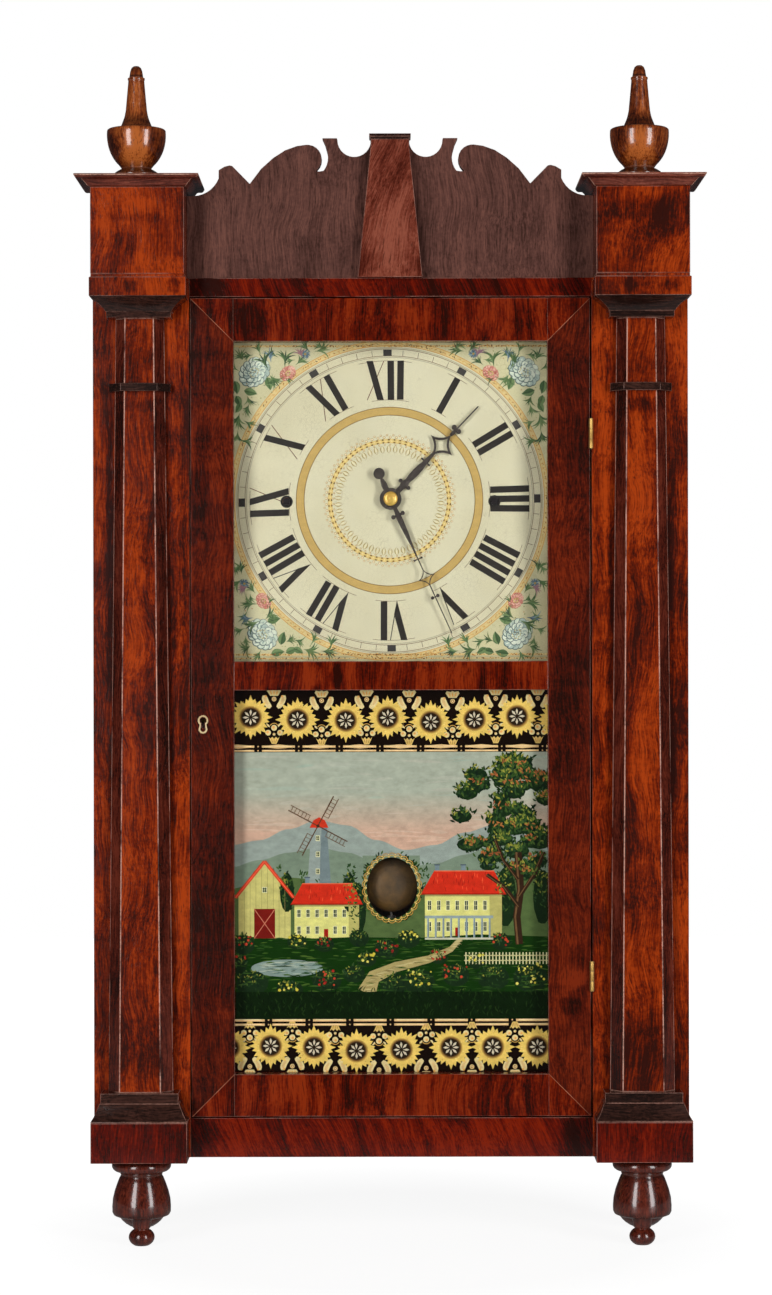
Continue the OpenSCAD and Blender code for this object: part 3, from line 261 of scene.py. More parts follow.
def make_world():
    world = bpy.data.worlds.new("world")
    bpy.context.scene.world = world
    world.use_nodes = True
    nodes = Nodes(world.node_tree)
    seen = nodes.mix(nodes.add("LightPath").outputs["Is Camera Ray"], tint(52, 52, 54), WHITE)
    nodes.join(seen, world.node_tree.nodes["Background"].inputs["Color"])


def softbox(name, azimuth):
    """A tall area light that faces the clock, this many degrees round from the front."""
    data = bpy.data.lights.new(name, "AREA")
    data.shape = "RECTANGLE"
    data.size = LIGHT_WIDE
    data.size_y = LIGHT_TALL
    data.energy = LIGHT_WATTS
    light = bpy.data.objects.new(name, data)
    angle = math.radians(azimuth)
    light.location = (LIGHT_AWAY * math.sin(angle), -LIGHT_AWAY * math.cos(angle), LIGHT_Z)
    light.rotation_euler = (math.radians(90), 0, angle)
    bpy.context.scene.collection.objects.link(light)


def make_floor():
    """White paper that glows for the camera, a little less close to the feet."""
    bpy.ops.mesh.primitive_plane_add(size=1, location=(0, 1.0, 0))
    floor = bpy.context.object
    floor.name = "floor"
    floor.scale = (4, 3, 1)
    material, nodes, shader = new_material("floor_paper")
    shader.inputs["Base Color"].default_value = tint(236, 236, 236)
    shader.inputs["Roughness"].default_value = 0.5
    glow = nodes.add("Emission", {"Color": WHITE, "Strength": FLOOR_GLOW})
    far = nodes.vector("LENGTH", nodes.add("NewGeometry").outputs["Position"])
    share = nodes.span(far, FADE_FROM, FADE_TO, 0.8, 1.0)
    seen = nodes.add("LightPath").outputs["Is Camera Ray"]
    two_shaders(material, nodes, nodes.math("MULTIPLY", seen, share), shader, glow)
    floor.data.materials.append(material)


make_world()
softbox("light_left", -31)
softbox("light_right", 40)
make_floor()

# %% [markdown]
# The case is veneered in figured mahogany. Up close its colour comes in layers: dark clouds
# some 30 to 60 mm long, soft bands across the grain, streaks along it, and fine pores.
# One node group mixes these layers and each veneer sets its own colours and amounts.
# The grain runs along Z inside the group, so a material turns its coordinates first.
# %% Node group: veneer figure
def make_figure_group():
    tree, n, given, out = new_group(
        "veneer_figure",
        [
            ("Vector", "Vector", None), ("Seed", "Float", 0.0), ("Clouds", "Float", 0.8),
            ("Bands", "Float", 0.4), ("Streaks", "Float", 0.5), ("Lean", "Float", 0.0),
            ("Lift", "Float", 0.0), ("Dark", "Color", tint(46, 16, 10)),
            ("Middle", "Color", tint(100, 34, 16)), ("Light", "Color", tint(158, 66, 28)),
        ],
        [("Color", "Color"), ("Roughness", "Float"), ("Height", "Float")],
    )
    shift = n.add("CombineXYZ", {axis: n.math("MULTIPLY", given["Seed"], share)
                                 for axis, share in enumerate((0.37, 0.71, 0.53))})
    where = n.vector("ADD", given["Vector"], shift.outputs[0])
    wander = n.add("TexNoise", {"Vector": where, "Scale": 9.0, "Detail": 2.0}).outputs["Color"]
    wander = n.scaled(n.vector("SUBTRACT", wander, (0.5, 0.5, 0.5)), 0.035, 0.035, 0.035)
    where = n.vector("ADD", where, wander)
    split = n.add("SeparateXYZ", {0: where})
    leaning = n.math("ADD", split.outputs[0], n.math("MULTIPLY", split.outputs[2], given["Lean"]))
    where = n.add("CombineXYZ", {0: leaning, 1: split.outputs[1], 2: split.outputs[2]}).outputs[0]
    clouds = n.noise(n.scaled(where, 1, 1, 0.55), 17.0, 3.0, 0.55)
    bands = n.noise(n.scaled(where, 0.12, 0.12, 1), 75.0, 2.0, 0.6)
    streaks = n.noise(n.scaled(where, 1, 1, 0.07), 85.0, 3.0, 0.6)
    fine = n.noise(n.scaled(where, 1, 1, 0.05), 750.0, 3.0, 0.7)
    mottle = n.noise(where, 420.0, 2.0, 0.6)
    tone = n.math("ADD", n.sway(clouds, given["Clouds"], 0.5), given["Lift"])
    for layer, amount in ((bands, given["Bands"]), (streaks, given["Streaks"]), (fine, 0.85), (mottle, 0.3)):
        tone = n.sway(layer, amount, tone)
    colour = n.mix(n.span(tone, 0.3, 0.5), given["Dark"], given["Middle"])
    colour = n.mix(n.span(tone, 0.49, 0.72), colour, given["Light"])
    pores = n.noise(n.scaled(where, 1, 1, 0.045), 1500.0, 1.0, 0.5)
    pores = n.span(pores, 0.60, 0.68)
    in_pore = n.mix(0.6, given["Dark"], (0.01, 0.004, 0.003, 1))
    n.join(n.mix(n.math("MULTIPLY", pores, 0.6), colour, in_pore), out.inputs["Color"])
    n.join(n.span(clouds, 0.3, 0.7, 0.26, 0.18), out.inputs["Roughness"])
    height = n.math("SUBTRACT", n.math("MULTIPLY", fine, 0.4), n.math("MULTIPLY", pores, 0.6))
    n.join(height, out.inputs["Height"])
    return tree


FIGURE = make_figure_group()
print(FIGURE.name, len(FIGURE.nodes), "nodes")

# %% [markdown]
# A few blotches of a board stand out, and they are what makes a photograph of it recognisable.
# A patch lifts or lowers the tone inside a soft oval with a ragged rim, stretched along the grain.
# Each material may add a handful of them, written as middle x, middle z, width, height, strength.
# Some patches are painted light and shade rather than figure: a lighter or darker oval where light
# or shadow falls on the piece.
# %% Node group: one soft patch
def make_patch_group():
    tree, n, given, out = new_group(
        "soft_patch",
        [
            ("Vector", "Vector", None), ("X", "Float", 0.0), ("Z", "Float", 0.0), ("Wide", "Float", 0.02),
            ("Tall", "Float", 0.05), ("Strength", "Float", 0.2), ("Before", "Float", 0.0),
        ],
        [("Sum", "Float")],
    )
    split = n.add("SeparateXYZ", {0: given["Vector"]})
    u = n.math("DIVIDE", n.math("SUBTRACT", split.outputs[0], given["X"]), given["Wide"])
    v = n.math("DIVIDE", n.math("SUBTRACT", split.outputs[2], given["Z"]), given["Tall"])
    ragged = n.noise(n.scaled(given["Vector"], 1, 1, 0.35), 90.0, 4.0, 0.65)
    far = n.sway(ragged, 1.7, n.reach(u, v))
    inside = n.add("MapRange", {"Value": far, "From Min": 1.15, "From Max": 0.35},
                   interpolation_type="SMOOTHSTEP").outputs[0]
    n.join(n.math("MULTIPLY_ADD", inside, given["Strength"], given["Before"]), out.inputs["Sum"])
    return tree


PATCH = make_patch_group()
print(PATCH.name, len(PATCH.nodes), "nodes")

# %% [markdown]
# Edges of old veneer are rubbed pale, and dirt gathers beside them. The bevelled copies of the
# pieces carry a face attribute named arris, which is 1 on the small faces of a rounded edge.
# The group breaks it up with noise, so that the pale line comes and goes along an edge.
# %% Node group: worn edges
def make_wear_group():
    tree, n, given, out = new_group(
        "worn_edge",
        [
            ("Color", "Color", None), ("Roughness", "Float", 0.3), ("Amount", "Float", 0.6),
            ("Worn", "Color", tint(176, 128, 112)), ("Seed", "Float", 0.0),
        ],
        [("Color", "Color"), ("Roughness", "Float")],
    )
    edge = n.add("Attribute", attribute_name="arris").outputs["Fac"]
    where = n.vector("ADD", n.place(), n.add("CombineXYZ", {0: given["Seed"]}).outputs[0])
    broken = n.span(n.noise(where, 26.0, 3.0, 0.6), 0.36, 0.56)
    rough_line = n.span(n.noise(where, 500.0, 2.0, 0.6), 0.35, 0.6, 0.35, 1.0)
    rubbed = n.math("MULTIPLY", edge, given["Amount"])
    share = n.math("MULTIPLY", rubbed, n.math("MULTIPLY", broken, rough_line))
    n.join(n.mix(share, given["Color"], given["Worn"]), out.inputs["Color"])
    n.join(n.mix(share, given["Roughness"], (0.6, 0.6, 0.6, 1)), out.inputs["Roughness"])
    return tree


WEAR = make_wear_group()
print(WEAR.name, len(WEAR.nodes), "nodes")

# %% [markdown]
# Every wood of the clock is the same figure in other colours: a dark, a middle and a light tone
# that were matched to the real finish. The mouldings are nearly black, the splat has a dull plum
# colour and the turned finials are the palest. One function builds them all: dark bands in turned
# grooves, painted shade with some dirt, lie over the figure, then come the worn edges, the pores
# and a thin clear coat.
# %% Veneer materials
VENEERS = {
    "orange": (tint(50, 14, 6), tint(110, 29, 3), tint(166, 60, 12)),
    "brown": (tint(36, 10, 4), tint(78, 20, 7), tint(118, 38, 13)),
    "rail": (tint(42, 7, 1), tint(94, 17, 1), tint(134, 42, 9)),
    "red": (tint(42, 6, 0), tint(88, 11, 0), tint(124, 28, 2)),
    "black": (tint(20, 10, 7), tint(40, 22, 17), tint(70, 42, 34)),
    "plum": (tint(62, 38, 32), tint(90, 58, 51), tint(114, 74, 64)),
    "tan": (tint(48, 15, 6), tint(118, 50, 18), tint(182, 98, 44)),
    "rose": (tint(70, 24, 14), tint(108, 48, 34), tint(144, 78, 60)),
    "bistre": (tint(34, 10, 5), tint(74, 24, 13), tint(112, 46, 30)),
    "pine": (tint(146, 108, 62), tint(184, 146, 94), tint(210, 176, 122)),
    "oak": (tint(112, 76, 42), tint(148, 106, 62), tint(176, 136, 86)),
    "cherry": (tint(92, 48, 26), tint(132, 74, 40), tint(164, 102, 58)),
}
WORN_VENEER = (176, 128, 112)
GROOVE_SHADE_AND_DIRT = (24, 10, 6)
PORE_DEEP = 0.12
COAT_ROUGHNESS = 0.08


def figured(n, tones, seed, clouds, bands, streaks, lean=0.0, turn=(0, 0, 0), patches=()):
    """Colour, roughness and height of one sheet of veneer. turn brings its grain onto Z."""
    dark, middle, light = VENEERS[tones]
    lift = 0.0
    for x, z, wide, tall, strength in patches:
        lift = n.group(PATCH, {
            "Vector": n.place(), "X": x * MM, "Z": z * MM, "Wide": wide * MM / 2, "Tall": tall * MM / 2,
            "Strength": strength, "Before": lift,
        }).outputs[0]
    return n.group(FIGURE, {
        "Vector": n.place(turn), "Seed": seed, "Clouds": clouds, "Bands": bands, "Streaks": streaks,
        "Lean": lean, "Lift": lift, "Dark": dark, "Middle": middle, "Light": light,
    }).outputs


def weathered(n, shader, colour, roughness, height, wear, worn=WORN_VENEER, seed=0.0, strength=0.2,
              deep=PORE_DEEP):
    """Joins a finish to its shader, with rubbed edges and a surface dented by the height."""
    edge = n.group(WEAR, {
        "Color": colour, "Roughness": roughness, "Amount": wear, "Worn": tint(*worn), "Seed": seed,
    })
    bump = n.add("Bump", {"Height": height, "Strength": strength, "Distance": deep * MM})
    n.join(edge.outputs["Color"], shader.inputs["Base Color"])
    n.join(edge.outputs["Roughness"], shader.inputs["Roughness"])
    n.join(bump.outputs[0], shader.inputs["Normal"])


def polish(shader, gloss):
    """A thin clear coat of this weight."""
    shader.inputs["Specular IOR Level"].default_value = 0.1 + 0.4 * gloss
    shader.inputs["Coat Weight"].default_value = gloss
    shader.inputs["Coat Roughness"].default_value = COAT_ROUGHNESS


def veneer(name, tones, seed, clouds=0.9, bands=0.3, streaks=0.5, lean=0.0, turn=(0, 0, 0), wear=0.6,
           worn=WORN_VENEER, gloss=0.3, patches=(), grooves=()):
    """Polished figured wood. The coat is gone where the edges are rounded."""
    material, n, shader = new_material(name)
    figure = figured(n, tones, seed, clouds, bands, streaks, lean, turn, patches)
    colour = figure["Color"]
    height = n.add("SeparateXYZ", {0: n.place()}).outputs[2]
    # Dark bands at the given heights: painted shade in the grooves and at the tips, with some dirt.
    for z, half, share in grooves:
        off = n.math("ABSOLUTE", n.math("SUBTRACT", height, z * MM))
        colour = n.mix(n.span(off, half * MM, 0.0, 0.0, share), colour, tint(*GROOVE_SHADE_AND_DIRT))
    weathered(n, shader, colour, figure["Roughness"], figure["Height"], wear, worn, seed)
    polish(shader, gloss)
    arris = n.add("Attribute", attribute_name="arris").outputs["Fac"]
    unworn = n.math("SUBTRACT", 1.0, arris, clamp=True)
    n.join(n.math("MULTIPLY", unworn, gloss), shader.inputs["Coat Weight"])
    return material


print("woods", list(VENEERS))


# %% [markdown]
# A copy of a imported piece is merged, its flat faces are joined up, and its sharp edges are
# rounded a little, because a real edge is never perfectly sharp and shows as a fine line.
# The small faces of the rounding are marked in the arris attribute for the wear.
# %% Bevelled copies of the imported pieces
SMOOTH_UNDER = math.radians(27)
FLAT_UNDER = math.radians(0.4)
MERGE_WITHIN = 2e-5


def tidy_faces(bm, flat):
    """Merges loose triangles into clean faces; flat is the angle up to which faces are joined."""
    bmesh.ops.remove_doubles(bm, verts=bm.verts, dist=MERGE_WITHIN)
    bmesh.ops.dissolve_limit(bm, angle_limit=flat, verts=bm.verts, edges=bm.edges)


def shade(bm, marked):
    """Smooth shading on curved and marked faces, flat shading on the rest."""
    for face in bm.faces:
        inner = [e for e in face.edges if len(e.link_faces) == 2 and not marked.intersection(e.link_faces)]
        turns = [e.calc_face_angle(0) for e in inner]
        face.smooth = face in marked or any(FLAT_UNDER < t < SMOOTH_UNDER for t in turns)


def to_object(bm, name, material):
    mesh = bpy.data.meshes.new(name)
    bm.to_mesh(mesh)
    bm.free()
    mesh.materials.append(material)
    piece = bpy.data.objects.new(name, mesh)
    bpy.context.scene.collection.objects.link(piece)
    return piece


def dressed(node, body, material, edge=0.5, keep=lambda place: False, flat=FLAT_UNDER):
    """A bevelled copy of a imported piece, which it stands for; keep tells which edges stay sharp."""
    bm = bmesh.new()
    bm.from_mesh(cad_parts[node].data)
    tidy_faces(bm, flat)
    arris = bm.faces.layers.float.new("arris")
    sharp = [e for e in bm.edges if len(e.link_faces) == 2 and e.calc_face_angle(0) > SMOOTH_UNDER
             and not keep((e.verts[0].co + e.verts[1].co) / 2 / MM)]
    made = bmesh.ops.bevel(bm, geom=sharp, offset=edge * MM, segments=2, profile=0.6, affect="EDGES",
                           clamp_overlap=True)
    marked = set(made["faces"])
    for face in marked:
        face[arris] = 1.0
    shade(bm, marked)
    piece = to_object(bm, node + "_finished", material)
    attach(piece, body)
    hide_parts(node)
    return piece


def second(piece, material, rule):
    """Gives a second material to the faces whose middle, in millimetres, meets the rule."""
    piece.data.materials.append(material)
    for face in piece.data.polygons:
        if rule(face.center / MM):
            face.material_index = 1


print("faces look smooth under", round(math.degrees(SMOOTH_UNDER)), "degrees")


# %% [markdown]
# The door's veneer meets in mitres: at each corner a thin pale line runs from the corner of the
# opening to the corner of the door, with the stile's upright figure on one side of it and the
# rail's short upright bands on the other. A mask made from the position picks between the two.
# %% Door veneer with mitred corners
MITRE_LINE = 0.35
MITRE_GLUE = (178, 112, 84)
DOOR_GLOSS = 0.25
# Patches on the door. The bright one low on the right stile, at z 212, and the bright one on the middle rail
# at x -62 are worn finish together with a painted reflection; the others are blotches of the figure.
DOOR_STILE_PATCHES_AND_SHEEN = (
    (-150, 620, 14, 120, -0.14), (-134, 520, 14, 180, 0.06), (-146, 300, 24, 200, -0.08),
    (-135, 180, 16, 70, 0.1), (142, 640, 30, 90, -0.06), (146, 212, 26, 22, 0.3),
    (144, 190, 24, 16, -0.2), (140, 420, 24, 160, -0.06),
)
DOOR_RAIL_PATCHES_AND_SHEEN = (
    (-62, 455, 16, 22, 0.32), (-44, 455, 10, 22, -0.3), (-100, 455, 40, 22, 0.08), (60, 455, 60, 22, 0.06),
    (-110, 740, 40, 26, -0.14), (20, 742, 60, 22, 0.08), (110, 740, 40, 26, -0.12),
    (-100, 118, 50, 26, 0.06), (60, 118, 60, 26, 0.04),
)


def door_veneer():
    material, n, shader = new_material("door_veneer")
    split = n.add("SeparateXYZ", {0: n.place()})
    across = n.math("SUBTRACT", n.math("ABSOLUTE", split.outputs[0]), SIGHT_HALF * MM)
    above = n.math("SUBTRACT", split.outputs[2], DIAL_HIGH * MM)
    below = n.math("SUBTRACT", SIGHT_LOW * MM, split.outputs[2])
    beyond = n.math("SUBTRACT", n.math("MAXIMUM", above, below), across)
    between_lights = n.math("LESS_THAN", across, 0.0)
    in_rail = n.math("MAXIMUM", n.math("GREATER_THAN", beyond, 0.0), between_lights)
    stile = figured(n, "brown", 14.9, 0.8, 0.3, 0.4, patches=DOOR_STILE_PATCHES_AND_SHEEN)
    rail = figured(n, "rail", 16.3, 0.7, 0.1, 1.2, patches=DOOR_RAIL_PATCHES_AND_SHEEN)
    colour = n.mix(in_rail, stile["Color"], rail["Color"])
    joint = n.math("MULTIPLY", n.math("LESS_THAN", n.math("ABSOLUTE", beyond), MITRE_LINE * MM),
                   n.math("GREATER_THAN", across, 0.0))
    fading = n.span(n.noise(n.place(), 60.0, 2.0), 0.35, 0.6, 0.25, 0.85)
    colour = n.mix(n.math("MULTIPLY", joint, fading), colour, tint(*MITRE_GLUE))
    weathered(n, shader, colour, stile["Roughness"], stile["Height"], 0.6, seed=14.0)
    polish(shader, DOOR_GLOSS)
    return material


DOOR_VENEER = door_veneer()
print("door veneer", DOOR_VENEER.name)

# %% [markdown]
# Each piece of the case gets a sheet of veneer of its own, with its own seed, because no two
# boards share a figure. Patches put the few blotches that stand out in the photograph in their
# places; on the stiles some of them are painted shadow beside the pilasters. The grain of a
# moulding runs across the clock, so its coordinates are turned about Y.
# %% Stiles, rails, sides and base
ACROSS = (0, 90, 0)
# Patches on the stiles. The first five, narrow dark strips along the sides of the pilasters, are painted
# shadow cast by the pilasters; the others are blotches of the figure.
STILE_PATCHES_AND_SHADOWS = (
    (-224, 480, 9, 420, -0.2), (-176, 480, 9, 420, -0.16), (176, 480, 9, 420, -0.12),
    (224, 480, 9, 420, -0.16), (-168, 430, 14, 560, -0.06), (-234, 660, 12, 60, 0.14),
    (-234, 560, 12, 50, 0.12), (172, 640, 16, 160, 0.12), (168, 380, 14, 220, -0.08),
    (234, 700, 14, 70, 0.12), (233, 480, 14, 200, -0.12), (232, 250, 16, 60, 0.1),
    (-166, 250, 12, 120, 0.1),
)
RAIL_PATCHES = (
    (-150, 84, 50, 40, -0.16), (150, 84, 60, 40, -0.16), (-60, 86, 90, 30, 0.08),
    (80, 86, 70, 30, 0.08), (-146, 765, 40, 26, -0.14), (148, 765, 40, 26, -0.14),
)

dressed("stiles", "case",
        veneer("stile_veneer", "orange", 3.1, 0.8, 0.3, 0.8, patches=STILE_PATCHES_AND_SHADOWS), 0.4)
dressed("case_rails", "case",
        veneer("rail_veneer", "red", 7.4, 0.9, 0.1, 0.9, 0.35, patches=RAIL_PATCHES), 0.5)
dressed("case_sides", "case", veneer("side_wood", "brown", 1.7, 0.6, 0.2, 0.6), 0.6)
dressed("base_blocks", "case", veneer("block_veneer", "red", 5.2, 0.6, 0.2, 0.5), 0.6)
base = dressed("base_mouldings", "case",
               veneer("ogee_wood", "black", 2.2, 0.6, 0.2, 0.5, turn=ACROSS, wear=0.7), 0.35)
print("base mouldings", len(base.data.polygons), "faces")

# %% [markdown]
# A pilaster has a flat front and two splayed sides. The splayed sides get a darker veneer as
# painted shade, for they turn away from the lamps; they meet the front at pale arrises, which are
# rubbed and carry a painted highlight as well. The die is the plain block under each cornice. Its
# veneer carries on over the band of the capital, and the mouldings under that band are nearly black.
# %% Pilasters and capitals
PILASTER_X = 200
FRONT_HALF = 10
JOIN_UNDER = math.radians(2)
CAPITAL_BAND = 756.1
# Pale colour of the pilasters' arrises: rubbed wear together with a painted highlight along each edge.
PALE_ARRIS_WORN_AND_LIT = (196, 146, 128)
# Patches on the pilasters. The dark ones at the foot (z 160), under the neck band (z 670) and below the
# capital (z 700) are painted shade; the others are blotches of the figure.
PILASTER_PATCHES_AND_SHADE = (
    (-200, 160, 70, 70, -0.12), (200, 160, 70, 70, -0.14), (-200, 700, 50, 60, -0.1),
    (200, 700, 50, 60, -0.06), (-190, 600, 24, 160, -0.06), (202, 600, 26, 160, 0.08),
    (202, 400, 24, 130, 0.06), (-204, 420, 20, 160, 0.05), (200, 670, 60, 12, -0.16),
    (-200, 670, 60, 12, -0.12),
)
DIE_PATCHES = (
    (-211, 794, 28, 38, -0.13), (-204, 817, 64, 9, -0.1), (-184, 803, 18, 46, -0.12),
    (-222, 804, 14, 30, 0.06), (-196, 829, 30, 10, 0.1), (-205, 763, 16, 14, -0.2),
    (-172, 763, 14, 14, -0.24), (202, 824, 62, 26, -0.16), (214, 806, 34, 44, -0.13),
    (178, 792, 18, 40, 0.06), (206, 782, 40, 14, 0.04), (222, 763, 20, 14, -0.24),
    (190, 763, 12, 14, -0.2),
)

pilasters = dressed(
    "pilasters", "case",
    veneer("pilaster_veneer", "orange", 9.6, 0.5, 0.2, 0.8, wear=1.5, worn=PALE_ARRIS_WORN_AND_LIT,
           patches=PILASTER_PATCHES_AND_SHADE), 0.55, flat=JOIN_UNDER)
# Painted shade: the splayed sides get the darker bistre veneer.
second(pilasters, veneer("splay_veneer_painted_shade", "bistre", 10.4, 0.6, 0.2, 0.7, wear=1.5, worn=PALE_ARRIS_WORN_AND_LIT),
       lambda place: abs(abs(place.x) - PILASTER_X) > FRONT_HALF)
die = veneer("die_veneer", "orange", 6.8, 1.2, 0.3, 0.5, patches=DIE_PATCHES)
capitals = dressed("capital_mouldings", "case",
                   veneer("capital_wood", "black", 4.4, 0.6, 0.2, 0.5, turn=ACROSS, wear=0.5), 0.35)
second(capitals, die, lambda place: place.z > CAPITAL_BAND)
dressed("capital_blocks", "case", die, 0.6)
print("pilasters", len(pilasters.data.polygons), "faces")

# %% [markdown]
# The splat and its keystone are darker and duller than the case, as if their polish were older.
# The keystone ends in a small two-step cap that is nearly black.
# %% Cornices, splat and keystone
KEYSTONE_CAP = 882.5
KEYSTONE_PATCHES = (
    (-22, 786, 18, 30, -0.2), (26, 784, 14, 26, -0.2), (0, 812, 30, 50, 0.1), (0, 860, 30, 40, -0.06),
)

dressed("cornices", "case",
        veneer("cornice_wood", "rose", 8.3, 0.7, 0.2, 0.5, turn=ACROSS, wear=1.0, worn=(206, 160, 138)), 0.35)
dressed("splat", "case",
        veneer("splat_wood", "plum", 0.6, 0.5, 0.1, 0.5, wear=0.2, gloss=0.12), 0.4)
keystone = dressed(
    "splat_keystone", "case",
    veneer("keystone_veneer", "rose", 11.2, 0.5, 0.1, 0.6, -0.25, wear=0.8, gloss=0.1,
           patches=KEYSTONE_PATCHES), 0.5)
second(keystone, veneer("cap_wood", "black", 3.3, 0.5, 0.1, 0.5), lambda place: place.z > KEYSTONE_CAP)
print("keystone", len(keystone.data.polygons), "faces")

# %% [markdown]
# The finials and feet were turned on a lathe, so they are glossy. Dark bands lie in their grooves
# and at the tip of each finial: painted shade with some dirt. A band is written as height, half
# width and strength. Pale and dark patches on each finial are painted light: a brighter middle
# and darker sides on the bowl, and a lighter stripe up the spire. They follow the finial's middle,
# which is read from the frame.
# %% Finials and feet
FINIAL_HALF = 24
FINIAL_GROOVES = ((935, 1.6, 0.85), (941, 5, 0.6), (898, 8, 0.75), (893.5, 2.2, 0.6), (858, 7, 0.8))
FOOT_GROOVES = ((69, 5, 0.8), (24, 5, 0.6), (56, 4, 0.5))
FINIAL_MIDDLES = (low("finials").x + FINIAL_HALF, high("finials").x - FINIAL_HALF)
# Painted light on each finial: a brighter middle and darker sides on the bowl, a lighter stripe up the spire.
FINIAL_PAINTED_LIGHT = [patch for x in FINIAL_MIDDLES for patch in (
    (x, 876, 26, 34, 0.2), (x + 17, 874, 14, 34, -0.14), (x - 17, 874, 14, 34, -0.14),
    (x, 915, 9, 36, 0.12))]

dressed("finials", "case",
        veneer("finial_wood", "tan", 12.5, 0.5, 0.1, 0.5, wear=0.4, gloss=0.6, patches=FINIAL_PAINTED_LIGHT,
               grooves=FINIAL_GROOVES), 0.3)
dressed("feet", "case",
        veneer("foot_wood", "bistre", 13.1, 0.4, 0.1, 0.4, wear=0.2, gloss=0.6, grooves=FOOT_GROOVES), 0.3)
print("finial middles", [round(x, 1) for x in FINIAL_MIDDLES])

# %% [markdown]
# The door's stiles and rails are separate pieces under one sheet of veneer. An edge where a
# stile meets a rail is kept sharp, so that no line of wear runs across the joint.
# %% Door frame
def at_joint(place):
    """Whether a place lies where the end of a rail meets a stile."""
    beside = abs(abs(place.x) - SIGHT_HALF) < 1
    return beside and not SIGHT_LOW - 1 < place.z < DIAL_HIGH + 1


for frame_part in ("door_stiles", "door_rails"):
    dressed(frame_part, "door", DOOR_VENEER, 0.5, at_joint)
print("door frame dressed")

# %% [markdown]
# Paint on the dial and behind the glass is built from flat pieces a few hundredths of a
# millimetre thick. Each piece is a closed slab, so the export keeps it, and each has its own
# colour in a face corner attribute named paint. A higher coat lies nearer to the viewer, and
# the pieces of one coat are set a hair apart, so that no two that overlap share a plane.
# Outlines are lists of (x, z) points in millimetres, and ribbons follow two lines of points.
# %% Helper: a painting of thin slabs
HAIRS = 160
GOLDEN = 0.618
SLAB_THICK = 0.5


class Painting:
    """Thin flat pieces of paint on a plane that faces the viewer, gathered into one mesh."""

    def __init__(self, base, step, limits):
        self.base, self.step, self.limits = base, step, limits
        self.verts, self.faces, self.colours = [], [], []
        self.pieces = 0

    def planes(self, coat):
        """Front and back of the next piece, a hair nearer than the last piece of its coat."""
        self.pieces += 1
        turn, place = divmod(self.pieces, HAIRS)
        hair = (place + turn * GOLDEN % 1) / HAIRS
        front = self.base - (coat + 0.15 + 0.8 * hair) * self.step
        return front, front + SLAB_THICK * self.step

    def corner(self, point, y):
        x0, x1, z0, z1 = self.limits
        self.verts.append((min(max(point[0], x0), x1) * MM, y * MM, min(max(point[1], z0), z1) * MM))
        return len(self.verts) - 1

    def put(self, face, colour):
        self.faces.append(face)
        self.colours.append(colour)

    def fill(self, outline, colour, coat=0):
        """A slab with this outline."""
        turn = sum(a[0] * b[1] - b[0] * a[1] for a, b in zip(outline, outline[1:] + outline[:1]))
        if turn < 0:
            outline = outline[::-1]
        y0, y1 = self.planes(coat)
        front = [self.corner(p, y0) for p in outline]
        back = [self.corner(p, y1) for p in outline]
        self.put(front, colour)
        self.put(back[::-1], colour)
        for i in range(len(front)):
            j = (i + 1) % len(front)
            self.put([front[i], back[i], back[j], front[j]], colour)

    def ribbon(self, left, right, colour, coat=0, closed=False):
        """A slab between two lines of points."""
        y0, y1 = self.planes(coat)
        rows = [[self.corner(a, y0), self.corner(b, y0), self.corner(b, y1), self.corner(a, y1)]
                for a, b in zip(left, right)]
        pairs = list(zip(rows, rows[1:] + rows[:1]))
        for a, b in pairs if closed else pairs[:-1]:
            for i in range(4):
                j = (i + 1) % 4
                self.put([a[i], a[j], b[j], b[i]], colour)
        if not closed:
            self.put(rows[0][::-1], colour)
            self.put(rows[-1], colour)

    def finished(self, name, material, body):
        mesh = bpy.data.meshes.new(name)
        mesh.from_pydata(self.verts, [], self.faces)
        paint = mesh.color_attributes.new("paint", "FLOAT_COLOR", "CORNER")
        values = []
        for face, colour in zip(self.faces, self.colours):
            values.extend(list(tint(*colour)) * len(face))
        paint.data.foreach_set("color", values)
        mesh.materials.append(material)
        piece = bpy.data.objects.new(name, mesh)
        bpy.context.scene.collection.objects.link(piece)
        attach(piece, body)
        print(name, len(self.faces), "faces")
        return piece


# %% [markdown]
# A brush makes few kinds of mark, and a helper draws each: a line of one width, a leaf that
# swells and thins again as the brush is pressed and lifted, a dot, and a ring. All of them end
# as a filled outline or as a ribbon.
# %% Helpers: lines, strokes, leaves and round shapes
def polar(centre, radius, angle):
    """The point at this radius and angle, in degrees clockwise from the top."""
    a = math.radians(angle)
    return (centre[0] + radius * math.sin(a), centre[1] + radius * math.cos(a))


def bowed(a, b, bend, count=7):
    """Points from a to b, bowed sideways by bend times their distance."""
    dx, dz = b[0] - a[0], b[1] - a[1]
    steps = [i / count for i in range(count + 1)]
    return [(a[0] + dx * t - dz * bend * 4 * t * (1 - t), a[1] + dz * t + dx * bend * 4 * t * (1 - t))
            for t in steps]


def sides(points, widths):
    """The two edges of a stroke that follows points with these widths."""
    left, right = [], []
    for i, (x, z) in enumerate(points):
        x0, z0 = points[max(i - 1, 0)]
        x1, z1 = points[min(i + 1, len(points) - 1)]
        k = widths[i] / 2 / max(math.hypot(x1 - x0, z1 - z0), 1e-6)
        left.append((x - (z1 - z0) * k, z + (x1 - x0) * k))
        right.append((x + (z1 - z0) * k, z - (x1 - x0) * k))
    return left, right


def line(painting, points, width, colour, coat=0):
    painting.ribbon(*sides(points, [width] * len(points)), colour, coat)


